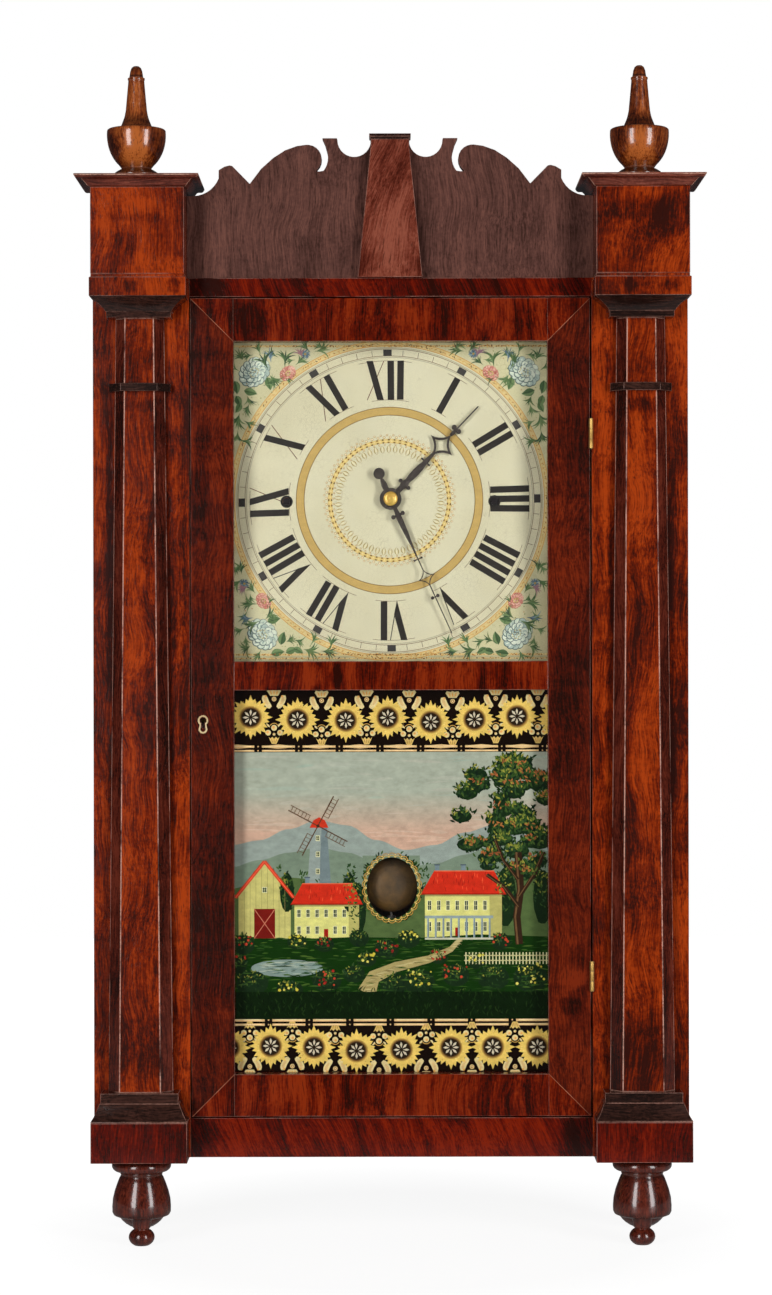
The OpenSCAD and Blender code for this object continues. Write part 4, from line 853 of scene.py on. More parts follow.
def leaf(painting, a, b, width, bend, colour, coat=0, full=0.5, count=7):
    """A stroke from a to b that swells to its width at full, as one press of a brush does."""
    power = math.log(0.5) / math.log(full)
    widths = [max(width * math.sin(math.pi * (i / count) ** power), 0.06) for i in range(count + 1)]
    painting.ribbon(*sides(bowed(a, b, bend, count), widths), colour, coat)


def disc(painting, centre, radius, colour, coat=0, count=16, tall=1.0):
    turns = [2 * math.pi * i / count for i in range(count)]
    painting.fill([(centre[0] + radius * math.cos(t), centre[1] + radius * tall * math.sin(t))
                   for t in turns], colour, coat)


def ring(painting, centre, inner, outer, colour, coat=0, count=180, start=0, end=360):
    """A ring, or an arc of one when start and end don't make a full turn."""
    whole = end - start >= 360
    turns = [start + (end - start) * i / count for i in range(count if whole else count + 1)]
    painting.ribbon([polar(centre, outer, t) for t in turns], [polar(centre, inner, t) for t in turns],
                    colour, coat, whole)


print("painting helpers ready")

# %% [markdown]
# The dial is a pine board with a ground of cream paint that has yellowed unevenly and crackled.
# Its painted work sits about a millimetre off the arbor and is turned by less than a degree.
# The corners have a slightly greener ground, and the crackle is the gap between Voronoi cells.
# %% Dial ground
PAINTED = (-0.8, DIAL_Z - 1.2)
TILT = -0.7
CREAM = (234, 225, 193)
CORNER_GROUND = (222, 214, 170)
BAND_IN = 125.0
BAND_OUT = 129.4
DARK_EDGE_WIDE = 9


def around(radius, angle):
    """A point of the painted dial: angle in degrees clockwise from its own top."""
    return polar(PAINTED, radius, angle + TILT)


def make_crackle_group():
    tree, n, given, out = new_group(
        "crackle", [("Vector", "Vector", None), ("Scale", "Float", 300.0), ("Width", "Float", 0.05)],
        [("Lines", "Float")],
    )
    bent = n.add("TexNoise", {"Vector": given["Vector"], "Scale": 260.0}).outputs["Color"]
    where = n.vector("ADD", given["Vector"], n.scaled(bent, 0.002, 0.002, 0.002))
    cells = n.add("TexVoronoi", {"Vector": where, "Scale": given["Scale"]}, feature="DISTANCE_TO_EDGE")
    n.join(n.math("SUBTRACT", 1.0, n.math("DIVIDE", cells.outputs[0], given["Width"]), clamp=True),
           out.inputs["Lines"])
    return tree


CRACKLE = make_crackle_group()


def dial_ground():
    material, n, shader = new_material("dial_ground")
    where = n.place()
    split = n.add("SeparateXYZ", {0: where})
    x = split.outputs[0]
    z = n.math("SUBTRACT", split.outputs[2], DIAL_Z * MM)
    radius = n.reach(x, z)
    colour = n.mix(n.span(radius, BAND_IN * MM, BAND_OUT * MM), tint(*CREAM), tint(*CORNER_GROUND))
    colour = n.mix(n.span(n.noise(where, 11.0, 3.0), 0.42, 0.72, 0.0, 0.4), colour, tint(196, 184, 146))
    colour = n.mix(n.span(n.noise(where, 35.0, 2.0), 0.45, 0.75, 0.0, 0.3), colour, tint(226, 220, 196))
    # The ground turns darker and browner near the edges of the door's opening.
    edge = n.math("MAXIMUM", n.math("SUBTRACT", n.math("ABSOLUTE", x), (SIGHT_HALF - 7) * MM),
                  n.math("SUBTRACT", n.math("ABSOLUTE", z), (DIAL_HIGH - DIAL_LOW - 16) / 2 * MM))
    edge_darkening = n.math("MULTIPLY", n.span(edge, 0, DARK_EDGE_WIDE * MM), n.span(n.noise(where, 60.0, 3.0), 0.3, 0.7))
    colour = n.mix(n.math("MULTIPLY", edge_darkening, 0.6), colour, tint(148, 122, 78))
    lines = n.group(CRACKLE, {"Vector": where}).outputs["Lines"]
    shown = n.math("MULTIPLY", lines, n.span(n.noise(where, 40.0, 2.0), 0.4, 0.7, 0.05, 0.35))
    n.join(n.mix(shown, colour, tint(150, 132, 96)), shader.inputs["Base Color"])
    bump = n.add("Bump", {"Height": lines, "Strength": 0.2, "Distance": 0.05 * MM}, invert=True)
    n.join(bump.outputs[0], shader.inputs["Normal"])
    shader.inputs["Roughness"].default_value = 0.5
    return material


dressed("dial_board", "case", dial_ground(), 0.3)
print("dial ground, painted centre", PAINTED)

# %% [markdown]
# All painted work shares one material. It takes the colour of each piece from the paint
# attribute, and mottles and thins it a little, as old hand paint does.
# Behind the glass an oval stays clear of paint, so that the bob can be seen. There the
# material is see-through: the oval is worked out from Object coordinates.
# %% Paint materials
OVAL = (0.6, BOB_Z - 1.0)
OVAL_WIDE = 20.4
OVAL_TALL = 24.6


def paint_material(name, mottle=0.18, clear_oval=False):
    material, n, shader = new_material(name)
    where = n.place()
    colour = n.add("Attribute", attribute_name="paint").outputs["Color"]
    level = 1.08 if clear_oval else 1.0
    cloudy = n.span(n.noise(n.scaled(where, 1, 1, 1.6), 130.0, 4.0, 0.65), 0.3, 0.7, level - mottle,
                    level + mottle)
    tone = n.add("CombineXYZ", {0: cloudy, 1: cloudy, 2: cloudy})
    colour = n.mix(1.0, colour, tone.outputs[0], "MULTIPLY")
    n.join(colour, shader.inputs["Base Color"])
    shader.inputs["Roughness"].default_value = 0.5
    shader.inputs["Specular IOR Level"].default_value = 0.0 if clear_oval else 0.25
    if clear_oval:
        split = n.add("SeparateXYZ", {0: where})
        u = n.math("DIVIDE", n.math("SUBTRACT", split.outputs[0], OVAL[0] * MM), OVAL_WIDE * MM)
        v = n.math("DIVIDE", n.math("SUBTRACT", split.outputs[2], OVAL[1] * MM), OVAL_TALL * MM)
        n.join(n.math("GREATER_THAN", n.reach(u, v), 1.0), shader.inputs["Alpha"])
    return material


DIAL_PAINT = paint_material("dial_painting", 0.08)
GLASS_PAINT = paint_material("glass_painting", 0.16, clear_oval=True)
print("paints", DIAL_PAINT.name, GLASS_PAINT.name)

# %% [markdown]
# The chapter ring has a track with sixty divisions, squares at every five minutes, and Roman
# numerals whose feet point inwards. The thick strokes are bars of one width, the second
# strokes of V and X are hairlines, and fine serif lines run along the circles at both ends.
# Each numeral starts at its own place left of its middle, as the painter spaced it by eye.
# %% Chapter ring and numerals
INK = (33, 27, 23)
SECOND_INK = (110, 70, 50)
HAIRLINE = (140, 118, 92)
GREY_LINE = (168, 158, 132)
BAR = 5.3
FAN = 0.28
NUMERAL_OUT = 113.0
NUMERAL_IN = 81.4
V_CUT = 92.0
STEP_I, STEP_I_BEFORE_X, STEP_V, STEP_X = 8.1, 9.5, 16.4, 17.0
NUMERALS = {"XII": -14.5, "I": 0, "II": -4.1, "III": -8.2, "IIII": -12.3, "V": -4.4, "VI": -10.3,
            "VII": -12.7, "VIII": -17.1, "IX": -9.2, "X": -4.8, "XI": -9.2}
TRACK_LINES = ((122.6, HAIRLINE, 0.5), (123.6, GREY_LINE, 0.4), (116.9, HAIRLINE, 0.5),
               (115.8, GREY_LINE, 0.4))


def numeral(painting, hour, text, x):
    """One numeral: x is where its first stroke crosses the outer line, sideways from its hour."""
    angle = math.radians(30 * hour + TILT)
    fan = NUMERAL_IN / NUMERAL_OUT * FAN + (1 - FAN)
    half = BAR / 2

    def at(sideways, out):
        return (PAINTED[0] + out * math.sin(angle) + sideways * math.cos(angle),
                PAINTED[1] + out * math.cos(angle) - sideways * math.sin(angle))

    def bar(top, foot_right, foot_left):
        painting.fill([at(top - half, NUMERAL_OUT), at(top + half, NUMERAL_OUT), foot_right, foot_left],
                      INK, 3)

    outer, inner = [], []
    for letter, after in zip(text, text[1:] + " "):
        outer.append(x)
        if letter == "I":
            inner.append(x * fan)
            bar(x, at(x * fan + half, NUMERAL_IN), at(x * fan - half, NUMERAL_IN))
            x += STEP_I_BEFORE_X if after == "X" else STEP_I
        elif letter == "V":
            inner.append(x + 5.5)
            bar(x, at(x + 7.9, V_CUT), at(x + 5.5, NUMERAL_IN - 0.8))
            line(painting, [at(x + 11.2, NUMERAL_OUT), at(x + 7.4, V_CUT)], 0.7, INK, 2)
            x += STEP_V
        else:
            inner.append(x + 8.4)
            bar(x, at(x + 8.4 + half, NUMERAL_IN), at(x + 8.4 - half, NUMERAL_IN))
            line(painting, [at(x + 11.5, NUMERAL_OUT), at(x - 2.4, NUMERAL_IN)], 0.65, SECOND_INK, 2)
            x += STEP_X
    for out, ends, reach in ((NUMERAL_OUT, outer, 9.0), (NUMERAL_IN, inner, 7.0)):
        first, last = ((v / out) * 180 / math.pi for v in (min(ends) - reach, max(ends) + reach))
        ring(painting, PAINTED, out - 0.2, out + 0.2, HAIRLINE, 1, 8, 30 * hour + TILT + first,
             30 * hour + TILT + last)


def chapter_ring(painting):
    for radius, colour, width in TRACK_LINES:
        ring(painting, PAINTED, radius - width / 2, radius + width / 2, colour, 1)
    for hour, (text, start) in enumerate(NUMERALS.items()):
        numeral(painting, hour, text, start)


print("numerals", list(NUMERALS))


# %% [markdown]
# Inside the numerals lies a plain gold ring between two fine lines. Nearer the hands is a
# wreath of gold and brown stipple with a rim of drop-shaped loops. Stipple is many small
# dots at random places along a path, so a loop and a fixed seed make it.
# A gold band with a dark squiggle runs round the track, and the frame cuts it at four sides.
# %% Gold rings, wreath and stippled borders
GOLD = (210, 174, 104)
BAND_GOLD = (234, 208, 148)
RING_LINE = (124, 92, 42)
STIPPLE = ((222, 168, 84), (228, 186, 110), (206, 142, 62), (142, 88, 40), (96, 58, 30))
BEAD_BROWNS = ((126, 84, 24), (104, 66, 18), (146, 98, 34))
LOOP_GOLDS = ((182, 158, 96), (200, 176, 124))
SQUIGGLE_TINTS = ((104, 62, 30), (190, 126, 60), (226, 178, 96), (214, 150, 72))
WREATH_PAIRS = 65
WREATH_LOOPS = 50
SQUIGGLES = 200


def stipple(painting, place, count, low_r, high_r, rng, dark_share=0.3):
    """Dots of gold and brown; place(t, s) gives a point along t and across s."""
    for _ in range(count):
        t, s = rng.random(), rng.gauss(0, 0.42)
        dark = rng.random() < dark_share * (1 - min(abs(s), 1))
        colour = rng.choice(STIPPLE[2:] if dark else STIPPLE[:3])
        disc(painting, place(t, s), rng.uniform(low_r, high_r), colour, 4 if dark else 3, 6)


def wreath(painting, rng):
    """Pairs of brown beads on a gold ring, pale lace outside it and thin drop loops inside."""
    ring(painting, PAINTED, 46.3, 49.9, (238, 208, 134), 1, 120)
    for i in range(WREATH_PAIRS):
        angle = 360 / WREATH_PAIRS * i
        for radius in (46.9, 49.2):
            middle = angle + rng.uniform(-0.25, 0.25)
            leaf(painting, around(radius, middle - 1.25), around(radius, middle + 1.25), 1.25, 0,
                 rng.choice(BEAD_BROWNS), 5, 0.5, 4)
        disc(painting, around(48.1, angle + 2.8), 0.7, (250, 226, 160), 3, 7)
        for radius, off, size in ((51.2, 1.4, 1.15), (52.9, -1.4, 0.95), (45.2, 1.4, 0.8)):
            disc(painting, around(radius, angle + off), size, (196, 160, 108), 2, 8)
            disc(painting, around(radius + 0.1, angle + off), size - 0.42, (250, 234, 196), 3, 7)
    for i in range(WREATH_LOOPS):
        angle = 360 / WREATH_LOOPS * i
        for bend in (0.22, -0.22):
            leaf(painting, around(44.8, angle), around(38.2, angle), 0.85, bend, rng.choice(LOOP_GOLDS), 2)
        line(painting, [around(44.0, angle), around(40.5, angle)], 0.6, (246, 232, 190), 3)


def gold_rings(painting, rng):
    """The plain ring inside the numerals and the band round the track."""
    ring(painting, PAINTED, 69.2, 75.3, GOLD, 2)
    for inner, outer in ((68.8, 69.3), (75.2, 75.7)):
        ring(painting, PAINTED, inner, outer, RING_LINE, 3)
    ring(painting, PAINTED, BAND_IN, BAND_OUT, BAND_GOLD, 0)
    for radius in (BAND_IN, BAND_OUT - 0.6):
        ring(painting, PAINTED, radius, radius + 0.6, (222, 166, 82), 1)
    middle = (BAND_IN + BAND_OUT) / 2
    for i in range(SQUIGGLES):
        angle = 360 / SQUIGGLES * i + rng.uniform(-0.2, 0.2)
        lean = rng.choice((-0.8, 0.8))
        leaf(painting, around(middle - lean, angle - 0.4), around(middle + lean, angle + 0.4), 0.8,
             0.2 * lean, rng.choice(SQUIGGLE_TINTS), 2, 0.5, 4)
    stipple(painting, lambda t, s: around(middle + 1.2 * s, 360 * t), 500, 0.25, 0.5, rng, 0.4)


def border_lines(painting, rng):
    """Stippled lines along the top and the bottom of the dial's opening."""
    half = SIGHT_HALF + 2
    for height, share in ((DIAL_HIGH - 1.4, 1.0), (DIAL_LOW + 5.3, 1.0), (DIAL_LOW + 2.2, 0.6)):
        line(painting, [(-half, height), (half, height)], 1.6 * share, BAND_GOLD, 0)
        stipple(painting, lambda t, s: (half * (2 * t - 1), height + 0.9 * s), int(420 * share), 0.25,
                0.6, rng, 0.6)


print("gold", GOLD, "band", BAND_IN, BAND_OUT)


# %% [markdown]
# Each corner of the dial has a spray of flowers: a large pale rose, a small pink one, a blue
# thistle and leaves. The sprays are alike but mirrored, and the two below are the upper ones
# laid on their side, so one function draws a corner. A rose is a dark rim, then rings of
# overlapping petals.
# %% Corner flowers
LEAF_GREENS = ((70, 98, 60), (92, 120, 74), (118, 142, 94), (54, 76, 54), (104, 122, 74))
BLUES = ((98, 122, 140), (138, 160, 168), (74, 98, 116))
PURPLES = ((150, 112, 128), (176, 126, 130))
HEART_TINTS = ((196, 176, 92), (222, 206, 132), (140, 116, 66))
PALE_ROSE = {
    "petals": ((206, 216, 202), (220, 230, 214), (232, 238, 222), (186, 202, 194)),
    "rim": (88, 108, 108),
    "strokes": ((140, 160, 158), (236, 240, 226), (160, 180, 174)),
}
PINK_ROSE = {
    "petals": ((226, 158, 142), (236, 184, 166), (214, 140, 126)),
    "rim": (188, 104, 92),
    "strokes": ((214, 120, 104), (246, 208, 188)),
}


def rose(painting, at, radius, colours, rng, lean):
    """An open flower seen a little from the side: outlined petals in rings around a dotted heart."""
    turn = math.radians(lean)

    def oval(share, angle):
        a = math.radians(angle)
        long, short = 1.12 * radius * share * math.cos(a), 0.84 * radius * share * math.sin(a)
        return (at[0] + long * math.sin(turn) + short * math.cos(turn),
                at[1] + long * math.cos(turn) - short * math.sin(turn))

    for share, size, coat, count in ((0.76, 0.27, 3, 15), (0.5, 0.25, 5, 11), (0.26, 0.2, 7, 7)):
        for i in range(count):
            angle = 360 * i / count + rng.uniform(-6, 6)
            middle = oval(share, angle)
            disc(painting, middle, radius * size, colours["rim"], coat, 12)
            disc(painting, (middle[0] + 0.2, middle[1] + 0.2), radius * size * 0.84,
                 rng.choice(colours["petals"]), coat, 12)
            leaf(painting, oval(share - 0.12, angle - 4), oval(share + 0.14, angle + 4), radius * 0.09,
                 0.1, rng.choice(colours["strokes"]), coat + 1, 0.5, 4)
    for i in range(14):
        disc(painting, oval(0.27 + rng.uniform(-0.05, 0.05), 26 * i), 0.5, rng.choice(HEART_TINTS), 9, 6)


def spiky(painting, at, size, colours, rng, coat=4):
    """A round flower of thin petals all round, like a thistle or an aster."""
    for i in range(19):
        angle = 19 * i + rng.uniform(-5, 5)
        leaf(painting, at, polar(at, size * rng.uniform(0.75, 1.05), angle), size * 0.2, 0.1,
             rng.choice(colours), coat, 0.6, 4)
    disc(painting, at, size * 0.22, (186, 156, 84), coat + 1, 8)


def broad_leaf(painting, at, angle, size, rng):
    tip = polar(at, size, angle)
    leaf(painting, at, tip, size * 0.58, 0.04, rng.choice(LEAF_GREENS[:2]), 3, 0.42)
    leaf(painting, at, tip, size * 0.2, 0.2, LEAF_GREENS[2], 4)
    line(painting, [at, tip], 0.3, (40, 60, 36), 5)


def tuft(painting, at, angle, size, colours, rng, count=7, fan=15, coat=4):
    """Long bent brush strokes from one point, like blades of grass."""
    for i in range(count + 2):
        off = i - (count + 1) / 2
        tip = polar(at, 1.15 * size * rng.uniform(0.6, 1.05), angle + off * fan * 0.85)
        leaf(painting, at, tip, size * 0.105, 0.07 * off, rng.choice(colours), coat, 0.55)


SPRAY_TUFTS = (
    (84.5, 107.0, -4, 13.5, 7, 12), (98.0, 105.0, 24, 14, 6, 13), (76.0, 108.5, -52, 10, 5, 14),
    (60.5, 119.5, -78, 12, 6, 14), (97.0, 101.0, -140, 12, 5, 15), (118.5, 113.0, 30, 10, 6, 20),
    (121.0, 70.0, 165, 13, 7, 14), (122.5, 56.0, 175, 12, 6, 14), (115.0, 84.0, -160, 9, 5, 16),
)
SPRAY_LEAVES = ((117.5, 88, -105, 11), (125, 96, 190, 11), (124, 84, 200, 10), (99, 99, -165, 11),
                (120, 78, 150, 9))
SMALL_TUFTS = (
    (90, 115, 60, 10.5), (104, 117, 20, 10.5), (110, 117, 100, 9.5), (121.5, 104, 60, 10.5),
    (64, 119, 40, 11.5), (88, 99, -100, 10.5), (118, 64, -120, 10.5), (121, 48, -100, 11.5),
    (113, 78, 160, 10.5), (76, 113, 100, 8.5), (102, 92, -70, 10.5), (52, 121.5, 60, 9.5),
)
SEED_TINTS = ((150, 150, 92), (120, 132, 84), (196, 150, 110))


def corner(painting, side, up, rng):
    """The spray in one corner: side is -1 at the left, up is -1 below, where it lies on its side."""
    def at(x, z):
        if up < 0:
            x, z = z, x
        return (PAINTED[0] + side * x, PAINTED[1] + 1 + up * z)

    def way(angle):
        return side * angle if up > 0 else side * (90 + angle)

    rose(painting, at(109.0, 103.0), 12.6, PALE_ROSE, rng, way(-50))
    rose(painting, at(82.0, 102.0), 6.4, PINK_ROSE, rng, way(-50))
    tuft(painting, at(95.5, 110.5), way(10), 11, BLUES, rng, 6, 12)
    spiky(painting, at(68.0, 117.5), 4.6, BLUES, rng)
    tuft(painting, at(70.0, 114.5), way(24), 9.5, PURPLES, rng, 6, 15, 5)
    for x, z, angle, size, count, fan in SPRAY_TUFTS:
        tuft(painting, at(x, z), way(angle), size, LEAF_GREENS, rng, count, fan)
    for x, z, angle, size in SPRAY_LEAVES:
        broad_leaf(painting, at(x, z), way(angle), size, rng)
    for x, z, angle, size in SMALL_TUFTS:
        tuft(painting, at(x, z), way(angle), size, LEAF_GREENS[:3], rng, 5, 13)
    for _ in range(30):
        x = rng.uniform(84, 123)
        disc(painting, at(x, 204 - x - rng.uniform(-8, 26)), rng.uniform(0.3, 0.6),
             rng.choice(SEED_TINTS), 3, 6)


print("tufts in a spray", len(SPRAY_TUFTS) + len(SMALL_TUFTS) + 2)

# %% [markdown]
# The dial is painted in the order that a painter would follow: rings and numerals first, then
# the wreath, the border lines and the flowers. A dark ring of painted shade lines each hole for
# winding and stands in for the shadow inside the hole.
# A random generator with a fixed seed makes the same dots and strokes at every run.
# %% Painted dial
DIAL_STEP = 0.03
HOLE_X = (low("time_drum").x + high("time_drum").x) / 2
HOLE_Z = (low("time_drum").z + high("time_drum").z) / 2


def paint_dial():
    rng = random.Random(12)
    half = high("dial_board").x - 1
    painting = Painting(Y_DIAL, DIAL_STEP,
                        (-half, half, low("dial_board").z + 1, high("dial_board").z - 1))
    gold_rings(painting, rng)
    chapter_ring(painting)
    wreath(painting, rng)
    border_lines(painting, rng)
    for side in (-1, 1):
        for up in (-1, 1):
            corner(painting, side, up, rng)
        # Painted shade: a near-black ring round each winding hole stands in for the darkness inside it.
        ring(painting, (side * abs(HOLE_X), HOLE_Z), 3.4, 5.0, (30, 24, 22), 5, 24)
    painting.finished("dial_painting", DIAL_PAINT, "case")


paint_dial()

# %% [markdown]
# What repeats by a rule is made with Geometry Nodes. The dial's track has sixty fine ticks and
# twelve squares: one small block is set on the points of a circle and turned to face its middle.
# The tree's sizes are named inputs, and the result is turned into a plain mesh for the export.
# %% Helpers for Geometry Nodes
def node_tree(name, inputs):
    """An empty geometry tree with named inputs, and a Nodes helper for it."""
    tree = bpy.data.node_groups.new(name, "GeometryNodeTree")
    named_sockets(tree, inputs, [("Geometry", "Geometry")])
    return tree, Nodes(tree), tree.nodes.new("NodeGroupInput").outputs


def turned_copies(n, points, instance, count, material):
    """Sets a copy on each point, turned by its share of a full turn, and ends the tree."""
    share = n.math("DIVIDE", n.grow("InputIndex").outputs[0], count)
    angles = n.add("CombineXYZ", {2: n.math("MULTIPLY", share, 2 * math.pi)}).outputs[0]
    spin = n.add("EulerToRotation", {0: angles}, "FunctionNode").outputs[0]
    copies = n.grow("InstanceOnPoints", {"Points": points, "Instance": instance, "Rotation": spin})
    real = n.grow("RealizeInstances", {"Geometry": copies.outputs[0]})
    painted = n.grow("SetMaterial", {"Geometry": real.outputs[0], "Material": material})
    n.join(painted.outputs[0], n.tree.nodes.new("NodeGroupOutput").inputs["Geometry"])


def grown(tree, name, settings, matrix, material):
    """Evaluates a tree with these settings and keeps the result as a plain mesh."""
    settings = {**settings, "Material": material}
    maker = bpy.data.objects.new(name + "_maker", bpy.data.meshes.new(name + "_maker"))
    bpy.context.scene.collection.objects.link(maker)
    modifier = maker.modifiers.new("maker", "NODES")
    modifier.node_group = tree
    for item in tree.interface.items_tree:
        if item.in_out == "INPUT" and item.name in settings:
            modifier[item.identifier] = settings[item.name]
    bpy.context.view_layer.update()
    mesh = bpy.data.meshes.new_from_object(maker.evaluated_get(bpy.context.evaluated_depsgraph_get()))
    maker.modifiers.clear()
    bpy.data.objects.remove(maker)
    mesh.transform(matrix)
    mesh.materials.clear()
    mesh.materials.append(material)
    piece = bpy.data.objects.new(name, mesh)
    bpy.context.scene.collection.objects.link(piece)
    print(name, len(mesh.polygons), "faces")
    return piece


# %% [markdown]
# The blocks are made in the circle's own flat plane, so a turn about X stands them upright and
# a small turn about Y gives them the tilt of the painted dial.
# %% Geometry Nodes: ticks and squares of the track
def make_circle_tree():
    tree, n, given = node_tree("blocks_on_a_circle", [
        ("Count", "Int", 12), ("Radius", "Float", 0.12), ("Long", "Float", 0.005),
        ("Wide", "Float", 0.005), ("Thick", "Float", 0.00002), ("Material", "Material", None)])
    circle = n.grow("MeshCircle", {"Vertices": given["Count"], "Radius": given["Radius"]}).outputs[0]
    size = n.add("CombineXYZ", {0: given["Long"], 1: given["Wide"], 2: given["Thick"]}).outputs[0]
    block = n.grow("MeshCube", {"Size": size}).outputs[0]
    turned_copies(n, circle, block, given["Count"], given["Material"])
    return tree


CIRCLE_TREE = make_circle_tree()
UPRIGHT = Matrix.Rotation(math.radians(90), 4, "X")
MARK_THICK = 0.02
TRACK_MARKS = (
    ("minute_ticks", 60, 117.0, 121.6, 0.45, (126, 104, 78), 2),
    ("hour_squares", 12, 116.9, 122.0, 6.8, INK, 5),
)


def plain_paint(name, colour):
    material, _, shader = new_material(name)
    shader.inputs["Base Color"].default_value = tint(*colour)
    shader.inputs["Roughness"].default_value = 0.5
    return material


def track_marks():
    """The sixty ticks and twelve squares of the track, flat on the dial."""
    turned = Matrix.Rotation(math.radians(TILT), 4, "Y")
    for name, count, inner, outer, wide, colour, coat in TRACK_MARKS:
        height = Y_DIAL - DIAL_STEP * (coat + 0.6)
        place = Matrix.Translation(Vector((PAINTED[0], height, PAINTED[1])) * MM)
        marks = grown(CIRCLE_TREE, name, {
            "Count": count, "Radius": (inner + outer) / 2 * MM, "Long": (outer - inner) * MM,
            "Wide": wide * MM, "Thick": MARK_THICK * MM,
        }, place @ turned @ UPRIGHT, plain_paint(name + "_paint", colour))
        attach(marks, "case")


track_marks()

# %% [markdown]
# The lower glass is painted from behind. Its two dark bands carry a stencilled pattern that was
# common on such clocks: toothed rosettes, three-lobed flowers, berries and little cups.
# The same few functions draw both bands, and the lower band is the upper one turned over.
# %% Stencilled bands
BLACK = (20, 10, 5)
STENCIL = (236, 200, 104)
PALE = (228, 206, 150)
SPECKLES = ((215, 160, 80), (250, 226, 142), (226, 176, 88))
AMBER = (235, 172, 92)
TOP_EDGE = 392.9
LOW_EDGE = 178.9
ROSETTES_TOP = ((-113, 421), (-75.2, 419), (-36.4, 418.3), (-2.7, 420.6), (32, 417), (67.2, 419),
                (101.5, 421.4), (135, 419))
ROSETTES_LOW = ((-131, 155), (-97.3, 156.4), (-62.5, 155.3), (-28.2, 152.3), (7.9, 153.3), (47.8, 154.9),
                (81.5, 155.3), (117.2, 155.3))
LOBE = ((-22.5, 11.9), (-14, 15.6), (-7.5, 13.3), (0, 18.0), (7.5, 13.3), (14, 15.6))
BAR_LONG = 26.5
BAR_STEP = 32.7
GLASS_HALF = SIGHT_HALF + GLASS_LAP


def box_of(x0, x1, z0, z1):
    """The four corners of an upright box."""
    return [(x0, z0), (x1, z0), (x1, z1), (x0, z1)]


def rosette(painting, at, rng):
    """A round stencil flower with eight toothed lobes and a kite pattern in its middle."""
    outline = [polar(at, radius + rng.uniform(-0.4, 0.4), 45 * lobe + angle)
               for lobe in range(8) for angle, radius in LOBE]
    painting.fill(outline, STENCIL, 4)
    for _ in range(60):
        speckle = polar(at, rng.uniform(9, 14.0), rng.uniform(0, 360))
        disc(painting, speckle, 0.4 * rng.uniform(0.5, 1.2), rng.choice(SPECKLES), 5, 6)
    for radius, colour, coat in ((9.4, (206, 164, 84), 5), (8.7, (160, 120, 60), 6),
                                 (8.0, (104, 74, 42), 7), (7.2, (40, 28, 18), 8)):
        disc(painting, at, radius, colour, coat, 32)
    for lobe in range(8):
        angle = 45 * lobe + rng.uniform(-3, 3)
        painting.fill([polar(at, 1.3, angle), polar(at, 4.4, angle - 13), polar(at, 6.4, angle),
                       polar(at, 4.4, angle + 13)], (214, 200, 176), 9)


def stencil_at(x, line_z, way):
    """Places measured from the row of rosettes: sideways and outwards from the picture."""
    return lambda across, out: (x + way * across, line_z + way * out)


def lily(painting, at):
    """A three-lobed flower: two plump bean lobes, a fan on top and a ring in the middle."""
    plump = (0.55, 0.9, 1.0, 1.0, 0.96, 0.94, 0.86, 0.5)
    for side in (-1, 1):
        points = bowed(at(side * 7.9, 3.0), at(side * 2.7, -6.9), 0.1 * side, 7)
        painting.ribbon(*sides(points, [4.8 * w for w in plump]), PALE, 4)
        painting.ribbon(*sides(points[1:6], [1.6, 2.2, 2.0, 1.6, 1.0]), (222, 186, 128), 5)
        disc(painting, at(side * 6.6, 2.2), 0.9, AMBER, 6, 8)
    fan = [at(-3.2, 2.6), at(-5.6, 6.4), at(-4.6, 8.0), at(-1.6, 7.4), at(0, 8.2), at(1.6, 7.4),
           at(4.6, 8.0), at(5.6, 6.4), at(3.2, 2.6)]
    painting.fill(fan, PALE, 4)
    for i in (-1, 0, 1):
        leaf(painting, at(i * 1.6, 3.2), at(i * 3.2, 7.0), 1.3, 0, AMBER, 5)
    for radius, colour, coat in ((1.9, (226, 190, 134), 5), (1.1, (150, 110, 60), 6),
                                 (0.6, (240, 216, 160), 7)):
        disc(painting, at(0, 0), radius, colour, coat, 12)


def berries(painting, at):
    """Three berries, two little leaves and a toothed cup under them."""
    for across, out, radius in ((0, 0, 2.4), (-4.8, -3.9, 2.3), (4.8, -3.9, 2.3), (0, -5.2, 1.1)):
        disc(painting, at(across, out), radius, PALE, 4, 12)
        disc(painting, at(across - 0.4, out + 0.4), radius * 0.45, AMBER, 5, 8)
    stalk = [at(3.7 * math.sin(a * 0.35), 3.7 * math.cos(a * 0.35)) for a in range(-3, 4)]
    line(painting, stalk, 0.6, (206, 160, 84), 4)
    for side in (-1, 1):
        leaf(painting, at(side * 3.2, 0.6), at(side * 5.6, 3.4), 1.5, 0.1, PALE, 4)
    cup = [at(-4.4, -7.2), at(-2.9, -8.6), at(-1.5, -7.2), at(0, -8.8), at(1.5, -7.2), at(2.9, -8.6),
           at(4.4, -7.2), at(1.9, -12.9), at(-1.9, -12.9)]
    painting.fill(cup, (226, 190, 112), 4)
    for i in (-1, 0, 1):
        leaf(painting, at(i * 2.2, -8.6), at(i * 1.0, -12.4), 0.6, 0, (176, 126, 62), 5)


